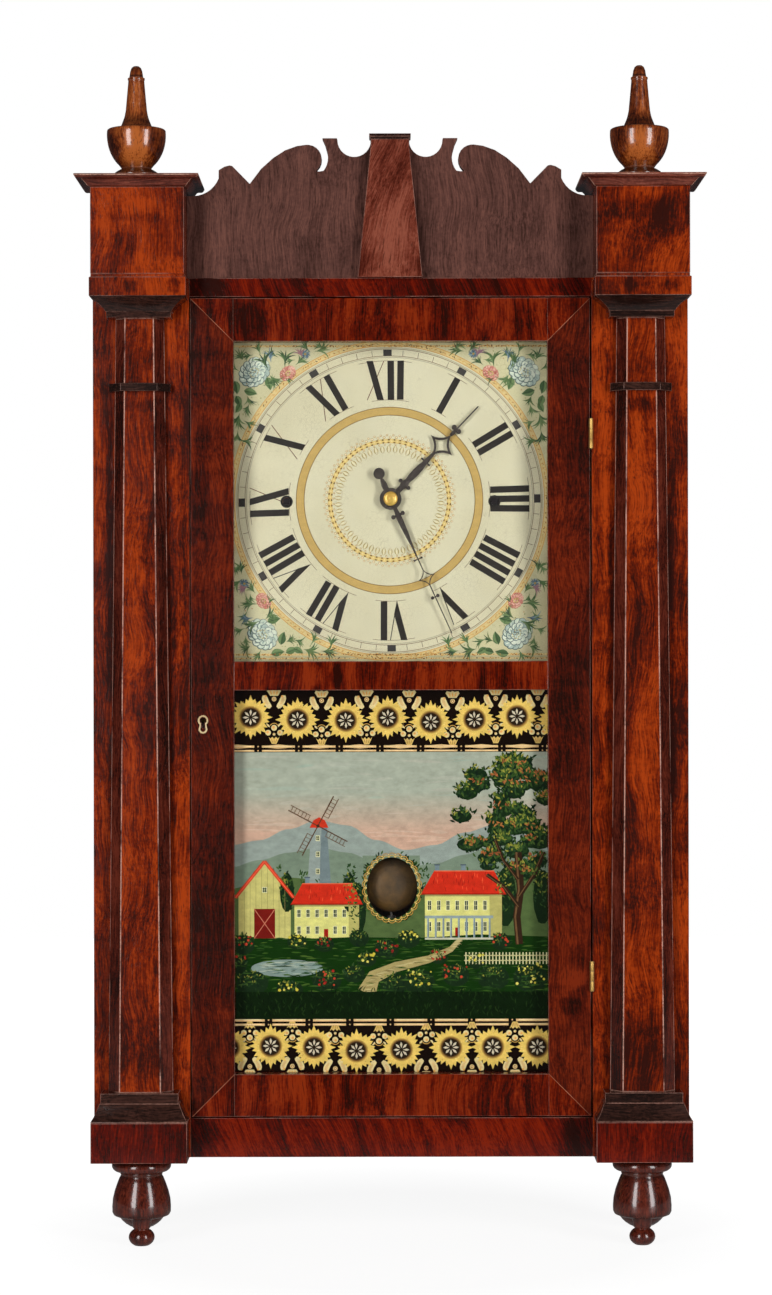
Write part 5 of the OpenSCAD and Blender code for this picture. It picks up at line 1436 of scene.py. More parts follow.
def bars(painting, height, thick, shift, swell=0.0):
    """A broken gold line with a dot in each gap; swell thickens the middle of each length."""
    x = -SIGHT_HALF - shift
    while x < SIGHT_HALF + 4:
        points = [(x + BAR_LONG * i / 6, height) for i in range(7)]
        widths = [thick + swell * max(0, 1 - abs(i - 3) / 2) for i in range(7)]
        painting.ribbon(*sides(points, widths), (233, 190, 134), 4)
        line(painting, [(x + 2, height + 0.2), (x + 24, height + 0.2)], thick * 0.4, (246, 216, 166), 5)
        disc(painting, (x + 29.6, height), 0.65, (226, 184, 130), 4, 8)
        x += BAR_STEP


def stencil_bands(painting, rng):
    for low_z, high_z in ((TOP_EDGE, SIGHT_MID + GLASS_LAP), (SIGHT_LOW - GLASS_LAP, LOW_EDGE)):
        painting.fill(box_of(-GLASS_HALF, GLASS_HALF, low_z, high_z), BLACK, 3)
    for row, way in ((ROSETTES_TOP, 1), (ROSETTES_LOW, -1)):
        for at in row:
            rosette(painting, at, rng)
        for left, right in zip(row, row[1:]):
            middle, row_z = (left[0] + right[0]) / 2, (left[1] + right[1]) / 2
            lily(painting, stencil_at(middle, row_z + way * 15.7, way))
            berries(painting, stencil_at(middle, row_z - way * 7.5, way))
    bars(painting, TOP_EDGE + 4.5, 1.8, 11, 1.6)
    bars(painting, TOP_EDGE + 1.1, 1.4, 11)
    bars(painting, LOW_EDGE - 1.6, 2.4, 3)
    bars(painting, LOW_EDGE - 5.3, 1.8, 3)


print("rosettes", len(ROSETTES_TOP) + len(ROSETTES_LOW))


# %% [markdown]
# Between the bands is a small country view of the kind that was painted by the thousand:
# a mill, a barn and cottages with red roofs, a pond, a fence, a large tree and flowering bushes.
# It is built up like such a painting: sky first, then hills, walls, roofs, leaves and flowers.
# Each helper draws one motif, and all of them lay short strokes with the leaf function.
# %% Sky, hills and the ground round the oval
LEAVES_DARK = ((24, 44, 22), (34, 58, 28), (20, 36, 24))
LEAVES_MIDDLE = ((52, 80, 36), (66, 92, 40), (44, 70, 40))
LEAVES_LIGHT = ((128, 134, 54), (156, 150, 62), (104, 118, 50))
NEAR_GREEN = (84, 104, 60)
SKY_STEPS = 40
FREE_HALF = 23.0
FREE_LOW = OVAL[1] - 26.0
FREE_HIGH = OVAL[1] + 26.0
FOOT_LOW = FREE_LOW - 14


def between(one, other, share):
    """A share of the way from one point or colour to the other."""
    return tuple(a + (b - a) * share for a, b in zip(one, other))


def sky(painting, rng):
    """Slabs that turn from pink near the hills to grey-green, and long soft clouds."""
    rise = (TOP_EDGE - FREE_HIGH) / SKY_STEPS
    for i in range(SKY_STEPS):
        z = FREE_HIGH + rise * i
        share = min(1, max(0, (z - 326) / 34))
        colour = between((208, 168, 148), (172, 177, 162), share)
        painting.fill(box_of(-GLASS_HALF, GLASS_HALF, z, z + rise), colour, 0)
    for _ in range(70):
        x, z, long = rng.uniform(-135, 110), rng.uniform(318, 390), rng.uniform(14, 46)
        share = min(1, max(0, (z - 326) / 34))
        colour = between((216, 180, 160), (rng.uniform(166, 182), 181, 167), share)
        end = (x + long, z + rng.uniform(-2, 2))
        leaf(painting, (x, z), end, rng.uniform(1.0, 3.2), 0.02, colour, 1, 0.5, 6)


def ridge(painting, heights, foot, colour, coat):
    """A hill over the whole width, which leaves the square around the oval free."""
    def top(x):
        place = (x + GLASS_HALF) / (2 * GLASS_HALF) * (len(heights) - 1)
        i = min(int(place), len(heights) - 2)
        soft = (1 - math.cos(math.pi * (place - i))) / 2
        return heights[i] + (heights[i + 1] - heights[i]) * soft

    def part(x0, x1, low_z):
        xs = [x0 + (x1 - x0) * i / 24 for i in range(25)]
        painting.fill([(x0, low_z), (x1, low_z)] + [(x, top(x)) for x in reversed(xs)], colour, coat)

    part(-GLASS_HALF, -FREE_HALF, foot)
    part(FREE_HALF, GLASS_HALF, foot)
    if min(top(0), top(-FREE_HALF), top(FREE_HALF)) > FREE_HIGH:
        part(-FREE_HALF, FREE_HALF, FREE_HIGH)


def dabs(painting, at, wide, tall, count, colours, size, rng, coat, lean=0):
    """Short leaf strokes scattered over an oval."""
    for _ in range(count):
        spread, turn = math.sqrt(rng.random()), rng.uniform(0, 2 * math.pi)
        a = (at[0] + wide * spread * math.cos(turn), at[1] + tall * spread * math.sin(turn))
        b = polar(a, size * rng.uniform(0.6, 1.3), lean + rng.uniform(-70, 70))
        leaf(painting, a, b, size * 0.42, rng.uniform(-0.2, 0.2), rng.choice(colours), coat, 0.5, 4)


def around_oval(painting, rng):
    """The ground between the free square and the oval, in two halves and two tones."""
    def rim(side, turn, out=0.0):
        return (OVAL[0] + side * (OVAL_WIDE + out) * math.cos(turn),
                OVAL[1] + (OVAL_TALL + out) * math.sin(turn))

    quarter = math.pi / 2
    for side in (-1, 1):
        lower = [rim(side, quarter * (i / 12 - 1)) for i in range(13)]
        painting.fill([(OVAL[0], FOOT_LOW)] + lower
                      + [(side * FREE_HALF, OVAL[1]), (side * FREE_HALF, FOOT_LOW)], NEAR_GREEN, 2)
        upper = [rim(side, quarter * (i / 12)) for i in range(13)]
        painting.fill(upper + [(OVAL[0], FREE_HIGH), (side * FREE_HALF, FREE_HIGH),
                               (side * FREE_HALF, OVAL[1])], (122, 138, 118), 2)
        for _ in range(46):
            at = rim(side, rng.uniform(-1.5, 1.2), 1.5)
            dabs(painting, at, 3.2, 3.2, 3, LEAVES_MIDDLE + LEAVES_DARK, 3.2, rng, 3)


print("oval", OVAL, "left free up to", round(FREE_HIGH, 1))


# %% [markdown]
# Leaves are dabs in three tones: dark ones first, then middle ones a little higher, and a few
# light ones on top, as if the light came from above. Walls and roofs are flat shapes, with
# a darker end, a shaded eaves line and a few short strokes for the texture of the roof.
# %% Bushes and buildings
WALL = (226, 220, 134)
WALL_SHADE = (190, 180, 108)
ROOF = (214, 48, 28)
ROOF_SHADE = (150, 30, 20)
ROOF_STROKES = ((238, 84, 50), (176, 34, 22), (196, 44, 26))
GLAZING = (216, 210, 164)
SAIL_LATH = (112, 82, 58)


def bush(painting, at, wide, tall, rng, coat=5, flowers=None, big=2.6):
    disc(painting, at, wide, LEAVES_DARK[0], coat, 14, tall / wide)
    area = wide * tall
    dabs(painting, at, wide, tall, int(area * 0.22) + 8, LEAVES_DARK, big, rng, coat)
    dabs(painting, (at[0] - wide * 0.1, at[1] + tall * 0.2), wide * 0.85, tall * 0.75, int(area * 0.16) + 7,
         LEAVES_MIDDLE, big, rng, coat + 1)
    dabs(painting, (at[0] - wide * 0.15, at[1] + tall * 0.45), wide * 0.7, tall * 0.5, int(area * 0.08) + 5,
         LEAVES_LIGHT, big * 0.8, rng, coat + 2)
    if flowers:
        for _ in range(int(area * 0.06) + 6):
            x = at[0] + wide * rng.uniform(-0.85, 0.85)
            z = at[1] + tall * rng.uniform(-0.4, 0.95)
            disc(painting, (x, z), rng.uniform(0.6, 1.3), rng.choice(flowers), coat + 3, 7)


def window(painting, x, z, wide, tall, coat):
    left, right = x - wide / 2, x + wide / 2
    painting.fill(box_of(left - 0.5, right + 0.5, z - 0.5, z + tall + 0.5), (238, 232, 186), coat)
    painting.fill(box_of(left, right, z, z + tall), (38, 58, 46), coat + 1)
    line(painting, [(x, z), (x, z + tall)], 0.35, GLAZING, coat + 2)
    line(painting, [(left, z + tall * 0.5), (right, z + tall * 0.5)], 0.35, GLAZING, coat + 2)


def hipped_roof(painting, x, eaves, wide, roof, rng):
    ridge_z = eaves + roof
    lap = wide * 0.04 + 1
    painting.fill([(x - lap, eaves), (x + wide + lap, eaves), (x + wide * 0.9, ridge_z),
                   (x + wide * 0.12, ridge_z)], ROOF, 4)
    line(painting, [(x - lap, eaves + 0.4), (x + wide + lap, eaves + 0.4)], 0.9, ROOF_SHADE, 5)
    line(painting, [(x + wide * 0.12, ridge_z), (x + wide * 0.9, ridge_z)], 0.8, (240, 110, 76), 5)
    for _ in range(int(wide * 0.7)):
        a = (x + wide * rng.uniform(0.1, 0.9), eaves + roof * rng.uniform(0.1, 0.75))
        b = (a[0] + rng.uniform(-0.8, 0.8), a[1] + roof * 0.22)
        leaf(painting, a, b, 0.7, 0, rng.choice(ROOF_STROKES), 5, 0.5, 3)


def cottage(painting, x, z, wide, tall, roof, rng, rows, count, chimneys):
    """A long front with a hipped red roof, windows, a door and blue-grey chimneys."""
    eaves = z + tall
    top = eaves + roof + 5
    painting.fill(box_of(x, x + wide, z, eaves), WALL, 3)
    painting.fill(box_of(x + wide * 0.84, x + wide, z, eaves), WALL_SHADE, 4)
    line(painting, [(x, eaves - 0.7), (x + wide, eaves - 0.7)], 1.4, (168, 156, 96), 4)
    for share in chimneys:
        cx = x + wide * share
        painting.fill(box_of(cx - 1.7, cx + 1.7, eaves + roof * 0.6, top), (122, 140, 150), 3)
        line(painting, [(cx - 2.3, top), (cx + 2.3, top)], 1.1, (84, 96, 106), 4)
    hipped_roof(painting, x, eaves, wide, roof, rng)
    step = wide * 0.84 / count
    for i in range(count):
        for row in range(rows):
            wx, wz = x + step * (i + 0.5), z + tall * (0.28 + row) / rows
            if i == count // 2 and row == 0:
                painting.fill(box_of(wx - 1.7, wx + 1.7, z, z + min(7.5, tall * 0.75)), (168, 34, 24), 4)
                line(painting, [(wx, z), (wx, z + min(7, tall * 0.7))], 0.35, (96, 20, 16), 5)
            else:
                window(painting, wx, wz, 2.4, tall * 0.42 / rows, 4)


def barn(painting, x, z, wide, tall, roof):
    """A gable end with boards, a big door and a loft window."""
    eaves, peak = z + tall, (x + wide / 2, z + tall + roof)
    painting.fill([(x, z), (x + wide, z), (x + wide, eaves), peak, (x, eaves)], (206, 196, 120), 3)
    for i in range(1, 9):
        bx = x + wide * i / 9
        top = eaves + roof * (1 - abs(2 * i / 9 - 1)) - 1
        line(painting, [(bx, z), (bx, top)], 0.3, (150, 138, 84), 4)
    for end in (x - 2.4, x + wide + 2.4):
        slope = [(end, eaves - 1.2), (peak[0], peak[1] + 1)]
        line(painting, slope, 2.6, ROOF, 5)
        line(painting, slope, 0.7, (242, 112, 78), 6)
    left, right, lintel = x + wide * 0.3, x + wide * 0.7, z + tall * 0.7
    painting.fill(box_of(left, right, z, lintel), (120, 26, 20), 5)
    for a, b in (((left, z), (right, lintel)), ((right, z), (left, lintel))):
        line(painting, [a, b], 0.6, (206, 120, 96), 6)
    window(painting, x + wide / 2, eaves + roof * 0.12, 3, 3.6, 5)


def mill(painting, x, z, wide, tall):
    """A round mill with a red cap and four lattice sails."""
    top, half, waist = z + tall, wide / 2, wide * 0.33
    painting.fill([(x - half, z), (x + half, z), (x + waist, top), (x - waist, top)], (150, 160, 156), 2)
    painting.fill([(x, z), (x + half, z), (x + waist, top), (x + wide * 0.1, top)], (118, 132, 136), 3)
    cap = [(x - wide * 0.4, top), (x + wide * 0.4, top), (x + wide * 0.24, top + 6), (x, top + 8.5),
           (x - wide * 0.24, top + 6)]
    painting.fill(cap, (206, 56, 34), 4)
    for share in (0.2, 0.5, 0.78):
        window(painting, x - wide * 0.06, z + tall * share, 2.2, 3.4, 4)
    hub = (x - 1, top + 1.5)
    for angle in (28, 118, 208, 298):
        tip = polar(hub, 27, angle)
        line(painting, [hub, tip], 0.8, (92, 62, 42), 7)
        for k in range(3, 9):
            root = polar(hub, 3.1 * k, angle)
            line(painting, [root, polar(root, 4.6, angle + 90)], 0.4, SAIL_LATH, 7)
        start = polar(polar(hub, 9, angle), 4.6, angle + 90)
        line(painting, [start, polar(tip, 4.6, angle + 90)], 0.5, SAIL_LATH, 7)
    disc(painting, hub, 1.3, (70, 44, 30), 7, 10)


def great_tree(painting, x, z, rng):
    """A spreading tree with a bent trunk, branches and clumps of leaves with pale tips."""
    for points, width in (([(x, z), (x - 2, z + 22), (x + 1, z + 44), (x - 1, z + 74)], 6.0),
                          ([(x, z + 30), (x - 12, z + 46), (x - 26, z + 56)], 3.0),
                          ([(x, z + 38), (x + 12, z + 56), (x + 20, z + 74)], 3.2),
                          ([(x - 1, z + 52), (x - 13, z + 68), (x - 20, z + 86)], 2.4)):
        line(painting, points, width, (52, 34, 22), 5)
        line(painting, [(a - width * 0.22, b) for a, b in points], width * 0.25, (110, 78, 50), 5)
    for _ in range(64):
        across, up = rng.uniform(-50, 28), rng.uniform(56, 150)
        limit = 1 - abs((up - 104) / 58) ** 2.2
        at = (x + across * max(limit, 0.3), z + up)
        size = rng.uniform(7, 12)
        disc(painting, at, size * 0.8, LEAVES_DARK[0], 3, 12, 0.6)
        dabs(painting, at, size, size * 0.62, 20, LEAVES_DARK, 4.2, rng, 4)
        dabs(painting, (at[0] - 1, at[1] + 1.5), size * 0.85, size * 0.5, 13, LEAVES_MIDDLE, 3.6, rng, 5)
        tips = LEAVES_LIGHT if rng.random() < 0.72 else ((150, 84, 48), (176, 112, 60))
        dabs(painting, (at[0] - 2, at[1] + 3), size * 0.7, size * 0.3, 7, tips, 3.0, rng, 6, -20)


print("leaf tones", len(LEAVES_DARK + LEAVES_MIDDLE + LEAVES_LIGHT))

# %% [markdown]
# The far half of the view ends at the foot of the walls: sky, three ridges of hills, the mill,
# the barn and two cottages. The right cottage has a porch of nine posts.
# %% Far half of the view
HILLS_FAR = (318, 322, 331, 338, 334, 322, 314, 318, 328, 334, 330, 320)
HILLS_MIDDLE = (300, 306, 312, 316, 312, 304, 300, 303, 310, 318, 320, 312)
HILLS_NEAR = (283, 288, 292, 290, 284, 280, 282, 284, 288, 292, 296, 292)
POSTS = 9


def porch(painting):
    for i in range(POSTS):
        px = 29.5 + 6.2 * i
        line(painting, [(px, 243), (px, 259)], 1.5, (124, 142, 152), 6)
        line(painting, [(px - 0.4, 243), (px - 0.4, 259)], 0.4, (176, 190, 194), 7)
    line(painting, [(27, 260), (82, 260)], 2.2, (150, 164, 168), 6)
    line(painting, [(27, 242.6), (82, 242.6)], 1.6, (196, 196, 170), 6)


def far_view(painting, rng):
    sky(painting, rng)
    ridge(painting, HILLS_FAR, 240, (152, 162, 156), 1)
    ridge(painting, HILLS_MIDDLE, 240, (124, 140, 122), 2)
    ridge(painting, HILLS_NEAR, 178, NEAR_GREEN, 2)
    around_oval(painting, rng)
    for _ in range(110):
        x = rng.uniform(-GLASS_HALF, GLASS_HALF)
        if abs(x) > FREE_HALF:
            dabs(painting, (x, rng.uniform(284, 300)), 5, 2.4, 6, LEAVES_MIDDLE, 3.2, rng, 2)
    mill(painting, -58, 286, 19, 46)
    barn(painting, -123, 243, 42, 34, 27)
    cottage(painting, -78, 243, 52, 27, 17, rng, 2, 6, (0.2, 0.8))
    cottage(painting, 27, 244, 62, 34, 19, rng, 2, 7, (0.16, 0.5, 0.84))
    porch(painting)
    for x, z, tall in ((-84, 280, 16), (-28, 266, 22), (-34, 280, 16), (92, 276, 24), (122, 276, 22)):
        bush(painting, (x, z), tall * 0.36, tall, rng, 3, None, 3.0)


print("hills", max(HILLS_FAR), max(HILLS_MIDDLE), max(HILLS_NEAR))

# %% [markdown]
# The near half is a dark lawn with light strokes of grass, a path that widens towards the
# viewer, a pond, a picket fence, the large tree, flowering bushes and a band of dark grass.
# %% Near half of the view
LAWN_LOW = 178
GRASS_TINTS = ((44, 78, 28), (58, 92, 32), (26, 52, 18), (70, 98, 38), (38, 70, 24))
DARK_GRASS_TINTS = ((18, 40, 14), (26, 50, 16), (8, 20, 8), (36, 58, 22))
PATH = ((56, 243), (48, 234), (30, 226), (4, 220), (-14, 212), (-20, 199))
POND = (-84, 219)
PICKETS = 25
REDS = ((168, 44, 30), (196, 70, 44), (130, 32, 28))
YELLOWS = ((206, 188, 66), (226, 212, 104))
BUSHES = (
    (-119, 238, 9, 8, REDS), (-76, 240, 8, 6, YELLOWS), (-54, 238, 8, 6, REDS), (14, 242, 9, 7, YELLOWS),
    (88, 240, 8, 7, REDS), (-112, 207, 13, 10, None), (-52, 209, 12, 9, REDS), (-4, 234, 10, 8, REDS),
    (22, 208, 13, 10, YELLOWS), (52, 213, 11, 9, REDS), (82, 211, 13, 10, None),
    (112, 211, 14, 12, YELLOWS), (-20, 226, 8, 6, YELLOWS), (-26, 243, 8, 7, None),
    (-82, 202, 11, 7, YELLOWS), (2, 206, 11, 9, None), (-124, 222, 8, 8, REDS), (-30, 214, 9, 7, None),
    (68, 224, 7, 6, YELLOWS), (38, 228, 7, 6, REDS),
)


def lawn_and_path(painting, rng):
    lawn = [(-GLASS_HALF, LAWN_LOW), (GLASS_HALF, LAWN_LOW), (GLASS_HALF, 244), (70, 246), (20, 243),
            (-30, 244), (-90, 242), (-GLASS_HALF, 246)]
    painting.fill(lawn, (18, 50, 10), 4)
    for _ in range(520):
        x, z = rng.uniform(-GLASS_HALF, GLASS_HALF), rng.uniform(199, 243)
        end = (x + rng.uniform(4, 12), z + rng.uniform(-0.7, 0.7))
        leaf(painting, (x, z), end, rng.uniform(0.5, 1.3), 0.03, rng.choice(GRASS_TINTS), 5, 0.5, 4)
    painting.ribbon(*sides(PATH, [3, 4.5, 6, 8, 11, 15]), (176, 158, 104), 5)
    for _ in range(60):
        t = rng.random() * 4.99
        a = between(PATH[int(t)], PATH[int(t) + 1], t % 1)
        leaf(painting, (a[0] - 3, a[1]), (a[0] + 4, a[1] + rng.uniform(-1, 1)), 0.8, 0.05,
             rng.choice(((200, 184, 132), (146, 128, 82))), 6, 0.5, 4)


def pond_and_fence(painting, rng):
    disc(painting, POND, 29, (134, 152, 146), 5, 30, 0.24)
    for _ in range(34):
        x, z = POND[0] + rng.uniform(-24, 20), POND[1] + rng.uniform(-5, 5)
        leaf(painting, (x, z), (x + rng.uniform(5, 12), z), 0.7, 0,
             rng.choice(((176, 184, 168), (98, 122, 118))), 6)
    for i in range(PICKETS):
        px = 60 + 2.7 * i
        line(painting, [(px, 222), (px, 231.5)], 0.9, (222, 214, 166), 6)
    for pz in (225, 229):
        line(painting, [(58.5, pz), (128, pz)], 0.8, (200, 190, 140), 6)


def dark_grass(painting, rng):
    painting.fill(box_of(-GLASS_HALF, GLASS_HALF, LAWN_LOW, 200), (12, 30, 8), 6)
    for _ in range(420):
        x, z = rng.uniform(-GLASS_HALF, GLASS_HALF), rng.uniform(180, 201)
        leaf(painting, (x, z), (x + rng.uniform(-3, 3), z + rng.uniform(2, 5)), 0.8, 0.1,
             rng.choice(DARK_GRASS_TINTS), 7, 0.5, 3)


def near_view(painting, rng):
    lawn_and_path(painting, rng)
    pond_and_fence(painting, rng)
    great_tree(painting, 103, 238, rng)
    for x, z, wide, tall, flowers in BUSHES:
        bush(painting, (x, z), wide, tall, rng, 5, flowers)
    dark_grass(painting, rng)


print("bushes", len(BUSHES))

# %% [markdown]
# A scalloped gold frame of two lines goes round the clear oval. All paint lies behind the
# glass, and its edge stops half a millimetre inside the edge of the glass.
# %% Painted tablet
SCALLOPS = 26
TABLET_STEP = 0.06
PAINT_INSET = 0.5


def oval_frame(painting):
    for share, width, colour in ((1.02, 0.6, (226, 182, 92)), (1.09, 0.6, (196, 146, 66))):
        for i in range(SCALLOPS):
            turns = [2 * math.pi * (i + k) / SCALLOPS for k in (0, 1)]
            ends = [(OVAL[0] + OVAL_WIDE * share * math.cos(t), OVAL[1] + OVAL_TALL * share * math.sin(t))
                    for t in turns]
            line(painting, bowed(ends[0], ends[1], -0.3, 5), width, colour, 9)
            disc(painting, ends[0], 0.6, (240, 206, 126), 9, 6)


def paint_tablet():
    rng = random.Random(4)
    half = SIGHT_HALF + GLASS_LAP - PAINT_INSET
    limits = (-half, half, SIGHT_LOW - GLASS_LAP + PAINT_INSET, SIGHT_MID + GLASS_LAP - PAINT_INSET)
    painting = Painting(Y_GLASS_BACK + 0.7, TABLET_STEP, limits)
    far_view(painting, rng)
    near_view(painting, rng)
    stencil_bands(painting, rng)
    oval_frame(painting)
    painting.finished("tablet_painting", GLASS_PAINT, "door")


paint_tablet()

# %% [markdown]
# Glass lets the light of the lamps through unbent, so that it throws no dark shadow on the dial:
# for shadow rays the material is plainly transparent, and for the camera it is real glass.
# Metals share one function: a base colour, a patina in cloudy patches, and rubbed edges.
# %% Glass, metal, bone, cord and inner woods
CLEAR = (0.97, 0.98, 0.96, 1)
GLASS_BENDS = 1.45


def glass_material(name):
    material, n, shader = new_material(name)
    shader.inputs["Base Color"].default_value = CLEAR
    shader.inputs["Roughness"].default_value = 0.0
    shader.inputs["Transmission Weight"].default_value = 1.0
    shader.inputs["IOR"].default_value = GLASS_BENDS
    clear = n.add("BsdfTransparent", {"Color": CLEAR})
    ray = n.add("LightPath").outputs
    unseen = n.math("MAXIMUM", ray["Is Shadow Ray"], ray["Is Diffuse Ray"])
    two_shaders(material, n, unseen, shader, clear)
    return material


def metal(name, base, patina, roughness=0.4, metallic=1.0, worn=(186, 176, 158), wear=0.5, scale=90.0):
    """A base colour with a cloudy patina that is duller and a hair lower."""
    material, n, shader = new_material(name)
    cloudy = n.span(n.noise(n.place(), scale, 4.0, 0.65), 0.35, 0.68)
    colour = n.mix(cloudy, tint(*base), tint(*patina))
    dull = n.span(cloudy, 0, 1, roughness, min(roughness + 0.18, 1))
    weathered(n, shader, colour, dull, cloudy, wear, worn, strength=0.15, deep=0.2)
    shader.inputs["Metallic"].default_value = metallic
    return material


def inner_wood(name, tones, seed):
    return veneer(name, tones, seed, 0.35, 0.1, 0.7, wear=0.3, worn=(206, 180, 140), gloss=0.05)


FINISHES = {
    "clear_glass": glass_material("window_glass"),
    "painted_glass": glass_material("tablet_pane"),
    "brass": metal("aged_brass", (214, 174, 98), (150, 110, 52), 0.3, 0.7),
    "bell_metal": metal("bell_bronze", (190, 150, 90), (124, 96, 54), 0.34, 0.8),
    "steel": metal("aged_steel", (150, 146, 142), (96, 88, 80), 0.36, 0.8),
    "iron": metal("cast_iron_finish", (58, 52, 48), (40, 32, 28), 0.6, 0.6),
    "hand_metal": metal("hand_finish", (66, 58, 54), (42, 34, 32), 0.42, 0.5, (178, 160, 138), 0.75, 140.0),
    # The hub cap's brass is paler and less metallic: a cleaner polish with painted sheen.
    "boss": metal("hub_brass_with_painted_sheen", (240, 200, 104), (206, 156, 66), 0.2, 0.25, (255, 240, 190), 0.0, 200.0),
    "bone": metal("aged_bone", (222, 200, 152), (178, 146, 92), 0.35, 0.0, (240, 226, 190), 0.4, 160.0),
    "cord": metal("twisted_cord", (186, 160, 116), (138, 108, 70), 0.85, 0.0, (210, 190, 150), 0.0, 600.0),
    "pine": inner_wood("pine_boards", "pine", 21.0),
    "plate_wood": inner_wood("oak_plates", "oak", 23.0),
    "wheel_wood": inner_wood("cherry_wheels", "cherry", 25.0),
}
print("finishes", len(FINISHES))

# %% [markdown]
# The movement keeps its imported shape and only takes a finish for each material slot. A drum is
# one piece of two materials, so a mask made from its depth picks steel for the winding square
# that stands in front of the plates. That steel is near black: old steel darkened further as painted
# shade for the inside of the winding hole. The bob hangs in the dark and gets a duller metal.
# %% Finishes inside the case
def drum_finish():
    """Cherry wood with a winding square in front of the plates, in steel darkened as painted shade."""
    material, n, shader = new_material("drum_finish")
    figure = figured(n, "cherry", 27.0, 0.35, 0.1, 0.7)
    split = n.add("SeparateXYZ", {0: n.place()})
    in_front = n.math("LESS_THAN", split.outputs[1], high("front_plate").y * MM)
    # Near-black steel for the square: partly painted shade for the dark inside of the winding hole.
    n.join(n.mix(in_front, figure["Color"], tint(46, 42, 44)), shader.inputs["Base Color"])
    n.join(in_front, shader.inputs["Metallic"])
    shader.inputs["Roughness"].default_value = 0.45
    return material


def finish_inside():
    """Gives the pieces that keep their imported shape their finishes."""
    given = 0
    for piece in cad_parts.values():
        for place in piece.material_slots:
            key = place.material.name.split(".")[0] if place.material else ""
            if key in FINISHES:
                place.material = FINISHES[key]
                given += 1
    for node in ("time_drum", "strike_drum"):
        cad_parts[node].material_slots[0].material = FINISHES["drum"]
    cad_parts["pendulum_bob"].material_slots[0].material = FINISHES["bob"]
    print("slots finished", given)


FINISHES["drum"] = drum_finish()
FINISHES["bob"] = metal("dull_bob", (96, 66, 22), (48, 33, 11), 0.5, 0.1, (190, 150, 90), 0.0, 70.0)
finish_inside()

# %% [markdown]
# The hands, the escutcheon and the hinges get the same small bevel as the case pieces.
# A brass cap closes the hub in front of the hands. Its brass is paler and less metallic than the
# rest: a cleaner polish together with painted sheen for the lamps' highlights. It is turned, so a
# profile of radius and height is carried round its middle; the last point lies on the axis and
# closes the dome.
# %% Hands, hub cap, escutcheon and hinges
HUB_CAP = ((5.75, -1.9), (5.75, 0.05), (5.4, 0.55), (4.6, 1.05), (3.3, 1.5), (2.5, 1.62), (2.2, 1.4),
           (1.2, 1.75), (0.0, 1.9))
CAP_SIDES = 48


def turned_piece(name, centre, base, profile, material, body):
    """A solid of revolution that faces the viewer; profile lists (radius, height before base)."""
    bm = bmesh.new()
    rows = []
    for radius, height in profile:
        y = base - height
        if radius == 0:
            rows.append([bm.verts.new(Vector((centre[0], y, centre[1])) * MM)])
            continue
        around_it = [polar(centre, radius, 360 * i / CAP_SIDES) for i in range(CAP_SIDES)]
        rows.append([bm.verts.new(Vector((x, y, z)) * MM) for x, z in around_it])
    for a, b in zip(rows, rows[1:]):
        for i in range(CAP_SIDES):
            j = (i + 1) % CAP_SIDES
            bm.faces.new([a[i], a[j], b[j], b[i]] if len(b) > 1 else [a[i], a[j], b[0]])
    bm.faces.new(rows[0][::-1])
    bmesh.ops.recalc_face_normals(bm, faces=bm.faces)
    shade(bm, set())
    piece = to_object(bm, name, material)
    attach(piece, body)
    return piece


dressed("hour_hand", "hour_pipe", FINISHES["hand_metal"], 0.16)
dressed("minute_hand", "centre_arbor", FINISHES["hand_metal"], 0.16)
dressed("escutcheon", "door", FINISHES["bone"], 0.25)
cap = turned_piece("hand_boss_dome", (0.0, DIAL_Z), low("centre_wheel").y + 0.05, HUB_CAP, FINISHES["boss"],
                   "centre_arbor")
dressed("hinge_case_leaves", "case", FINISHES["brass"], 0.2)
dressed("hinge_door_leaves", "door", FINISHES["brass"], 0.2)
print("hub cap", len(cap.data.polygons), "faces")

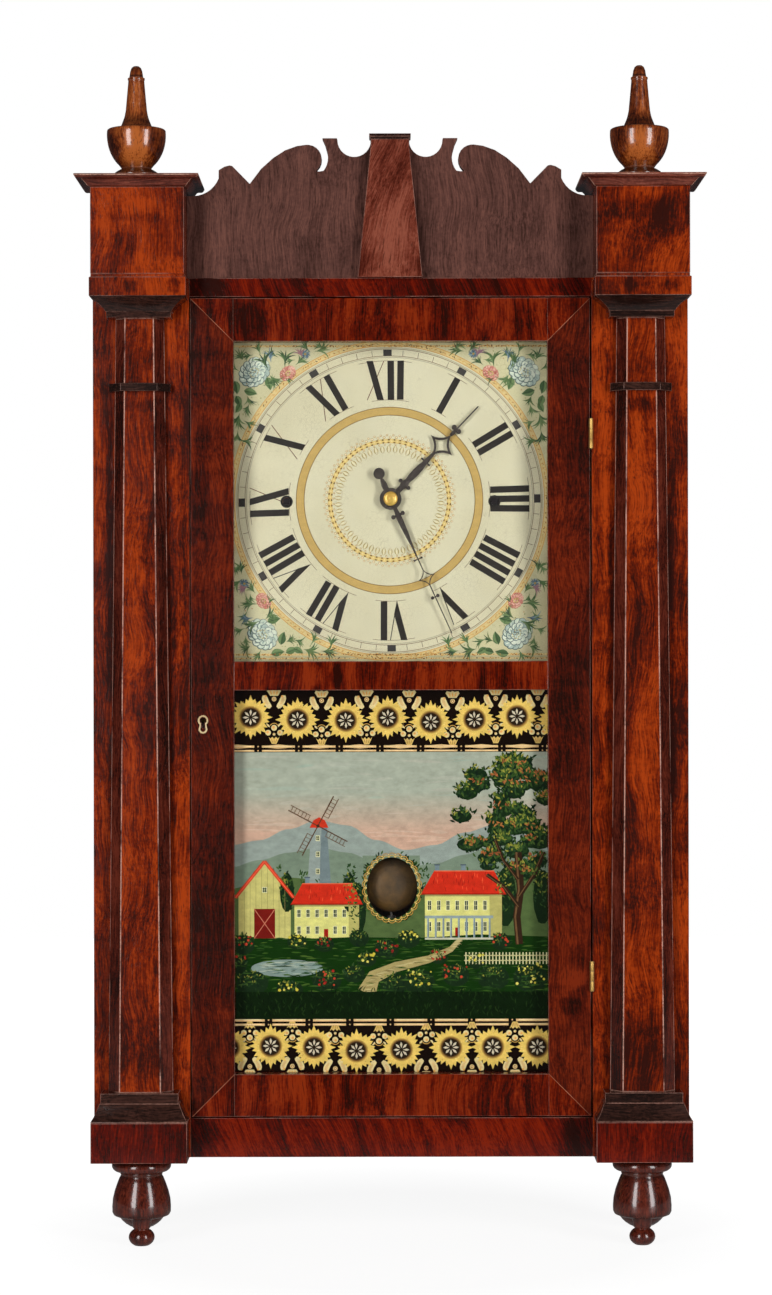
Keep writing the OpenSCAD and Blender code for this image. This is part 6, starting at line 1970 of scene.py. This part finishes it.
# %% [markdown]
# Each drum carries several turns of cord, and the cord to each weight is two twisted strands.
# Both are the same thing, a helix with a round section, so one tree makes them: one strand on a
# wide helix for a drum, two strands on a very narrow one for the cord.
# %% Geometry Nodes: cords
CORD_THICK = 0.7
DRUM_CORE = 17.5
CORD_PITCH = 1.55
COIL_TALL = 8.4
COIL_INSET = 1.6
TWIST_PITCH = 2.6
STRAND_OFF = 0.32
STRAND_THICK = 0.36


def make_coil_tree():
    tree, n, given = node_tree("coil", [
        ("Strands", "Int", 1), ("Turns", "Float", 6.0), ("Radius", "Float", 0.018),
        ("Height", "Float", 0.01), ("Thickness", "Float", 0.0007), ("Steps", "Int", 16),
        ("Material", "Material", None)])
    spiral = n.grow("CurveSpiral", {
        "Resolution": given["Steps"], "Rotations": given["Turns"], "Start Radius": given["Radius"],
        "End Radius": given["Radius"], "Height": given["Height"]}).outputs[0]
    section = n.grow("CurvePrimitiveCircle", {"Resolution": 8, "Radius": given["Thickness"]}).outputs[0]
    tube = n.grow("CurveToMesh", {"Curve": spiral, "Profile Curve": section, "Fill Caps": True}).outputs[0]
    points = n.grow("MeshLine", {"Count": given["Strands"], "Offset": (0, 0, 0)}).outputs[0]
    turned_copies(n, points, tube, given["Strands"], given["Material"])
    return tree


COIL_TREE = make_coil_tree()


def wound_cords():
    for drum in ("time_drum", "strike_drum"):
        middle = (low(drum) + high(drum)) / 2
        start = Vector((middle.x, high(drum).y - COIL_INSET, middle.z)) * MM
        coil = grown(COIL_TREE, drum + "_cord", {
            "Strands": 1, "Turns": COIL_TALL / CORD_PITCH, "Radius": (DRUM_CORE + CORD_THICK) * MM,
            "Height": COIL_TALL * MM, "Thickness": CORD_THICK * MM, "Steps": 24,
        }, Matrix.Translation(start) @ UPRIGHT, FINISHES["cord"])
        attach(coil, drum)


def hanging_cords():
    for side in ("time", "strike"):
        node = side + "_cord_drop"
        middle = (low(node) + high(node)) / 2
        top, foot = high(node).z, low(node).z
        end = Vector((middle.x, middle.y, foot)) * MM
        cord = grown(COIL_TREE, node + "_twisted", {
            "Strands": 2, "Turns": (top - foot) / TWIST_PITCH, "Radius": STRAND_OFF * MM,
            "Height": (top - foot) * MM, "Thickness": STRAND_THICK * MM, "Steps": 8,
        }, Matrix.Translation(end), FINISHES["cord"])
        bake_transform(cord)
        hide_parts(node)


wound_cords()
hanging_cords()
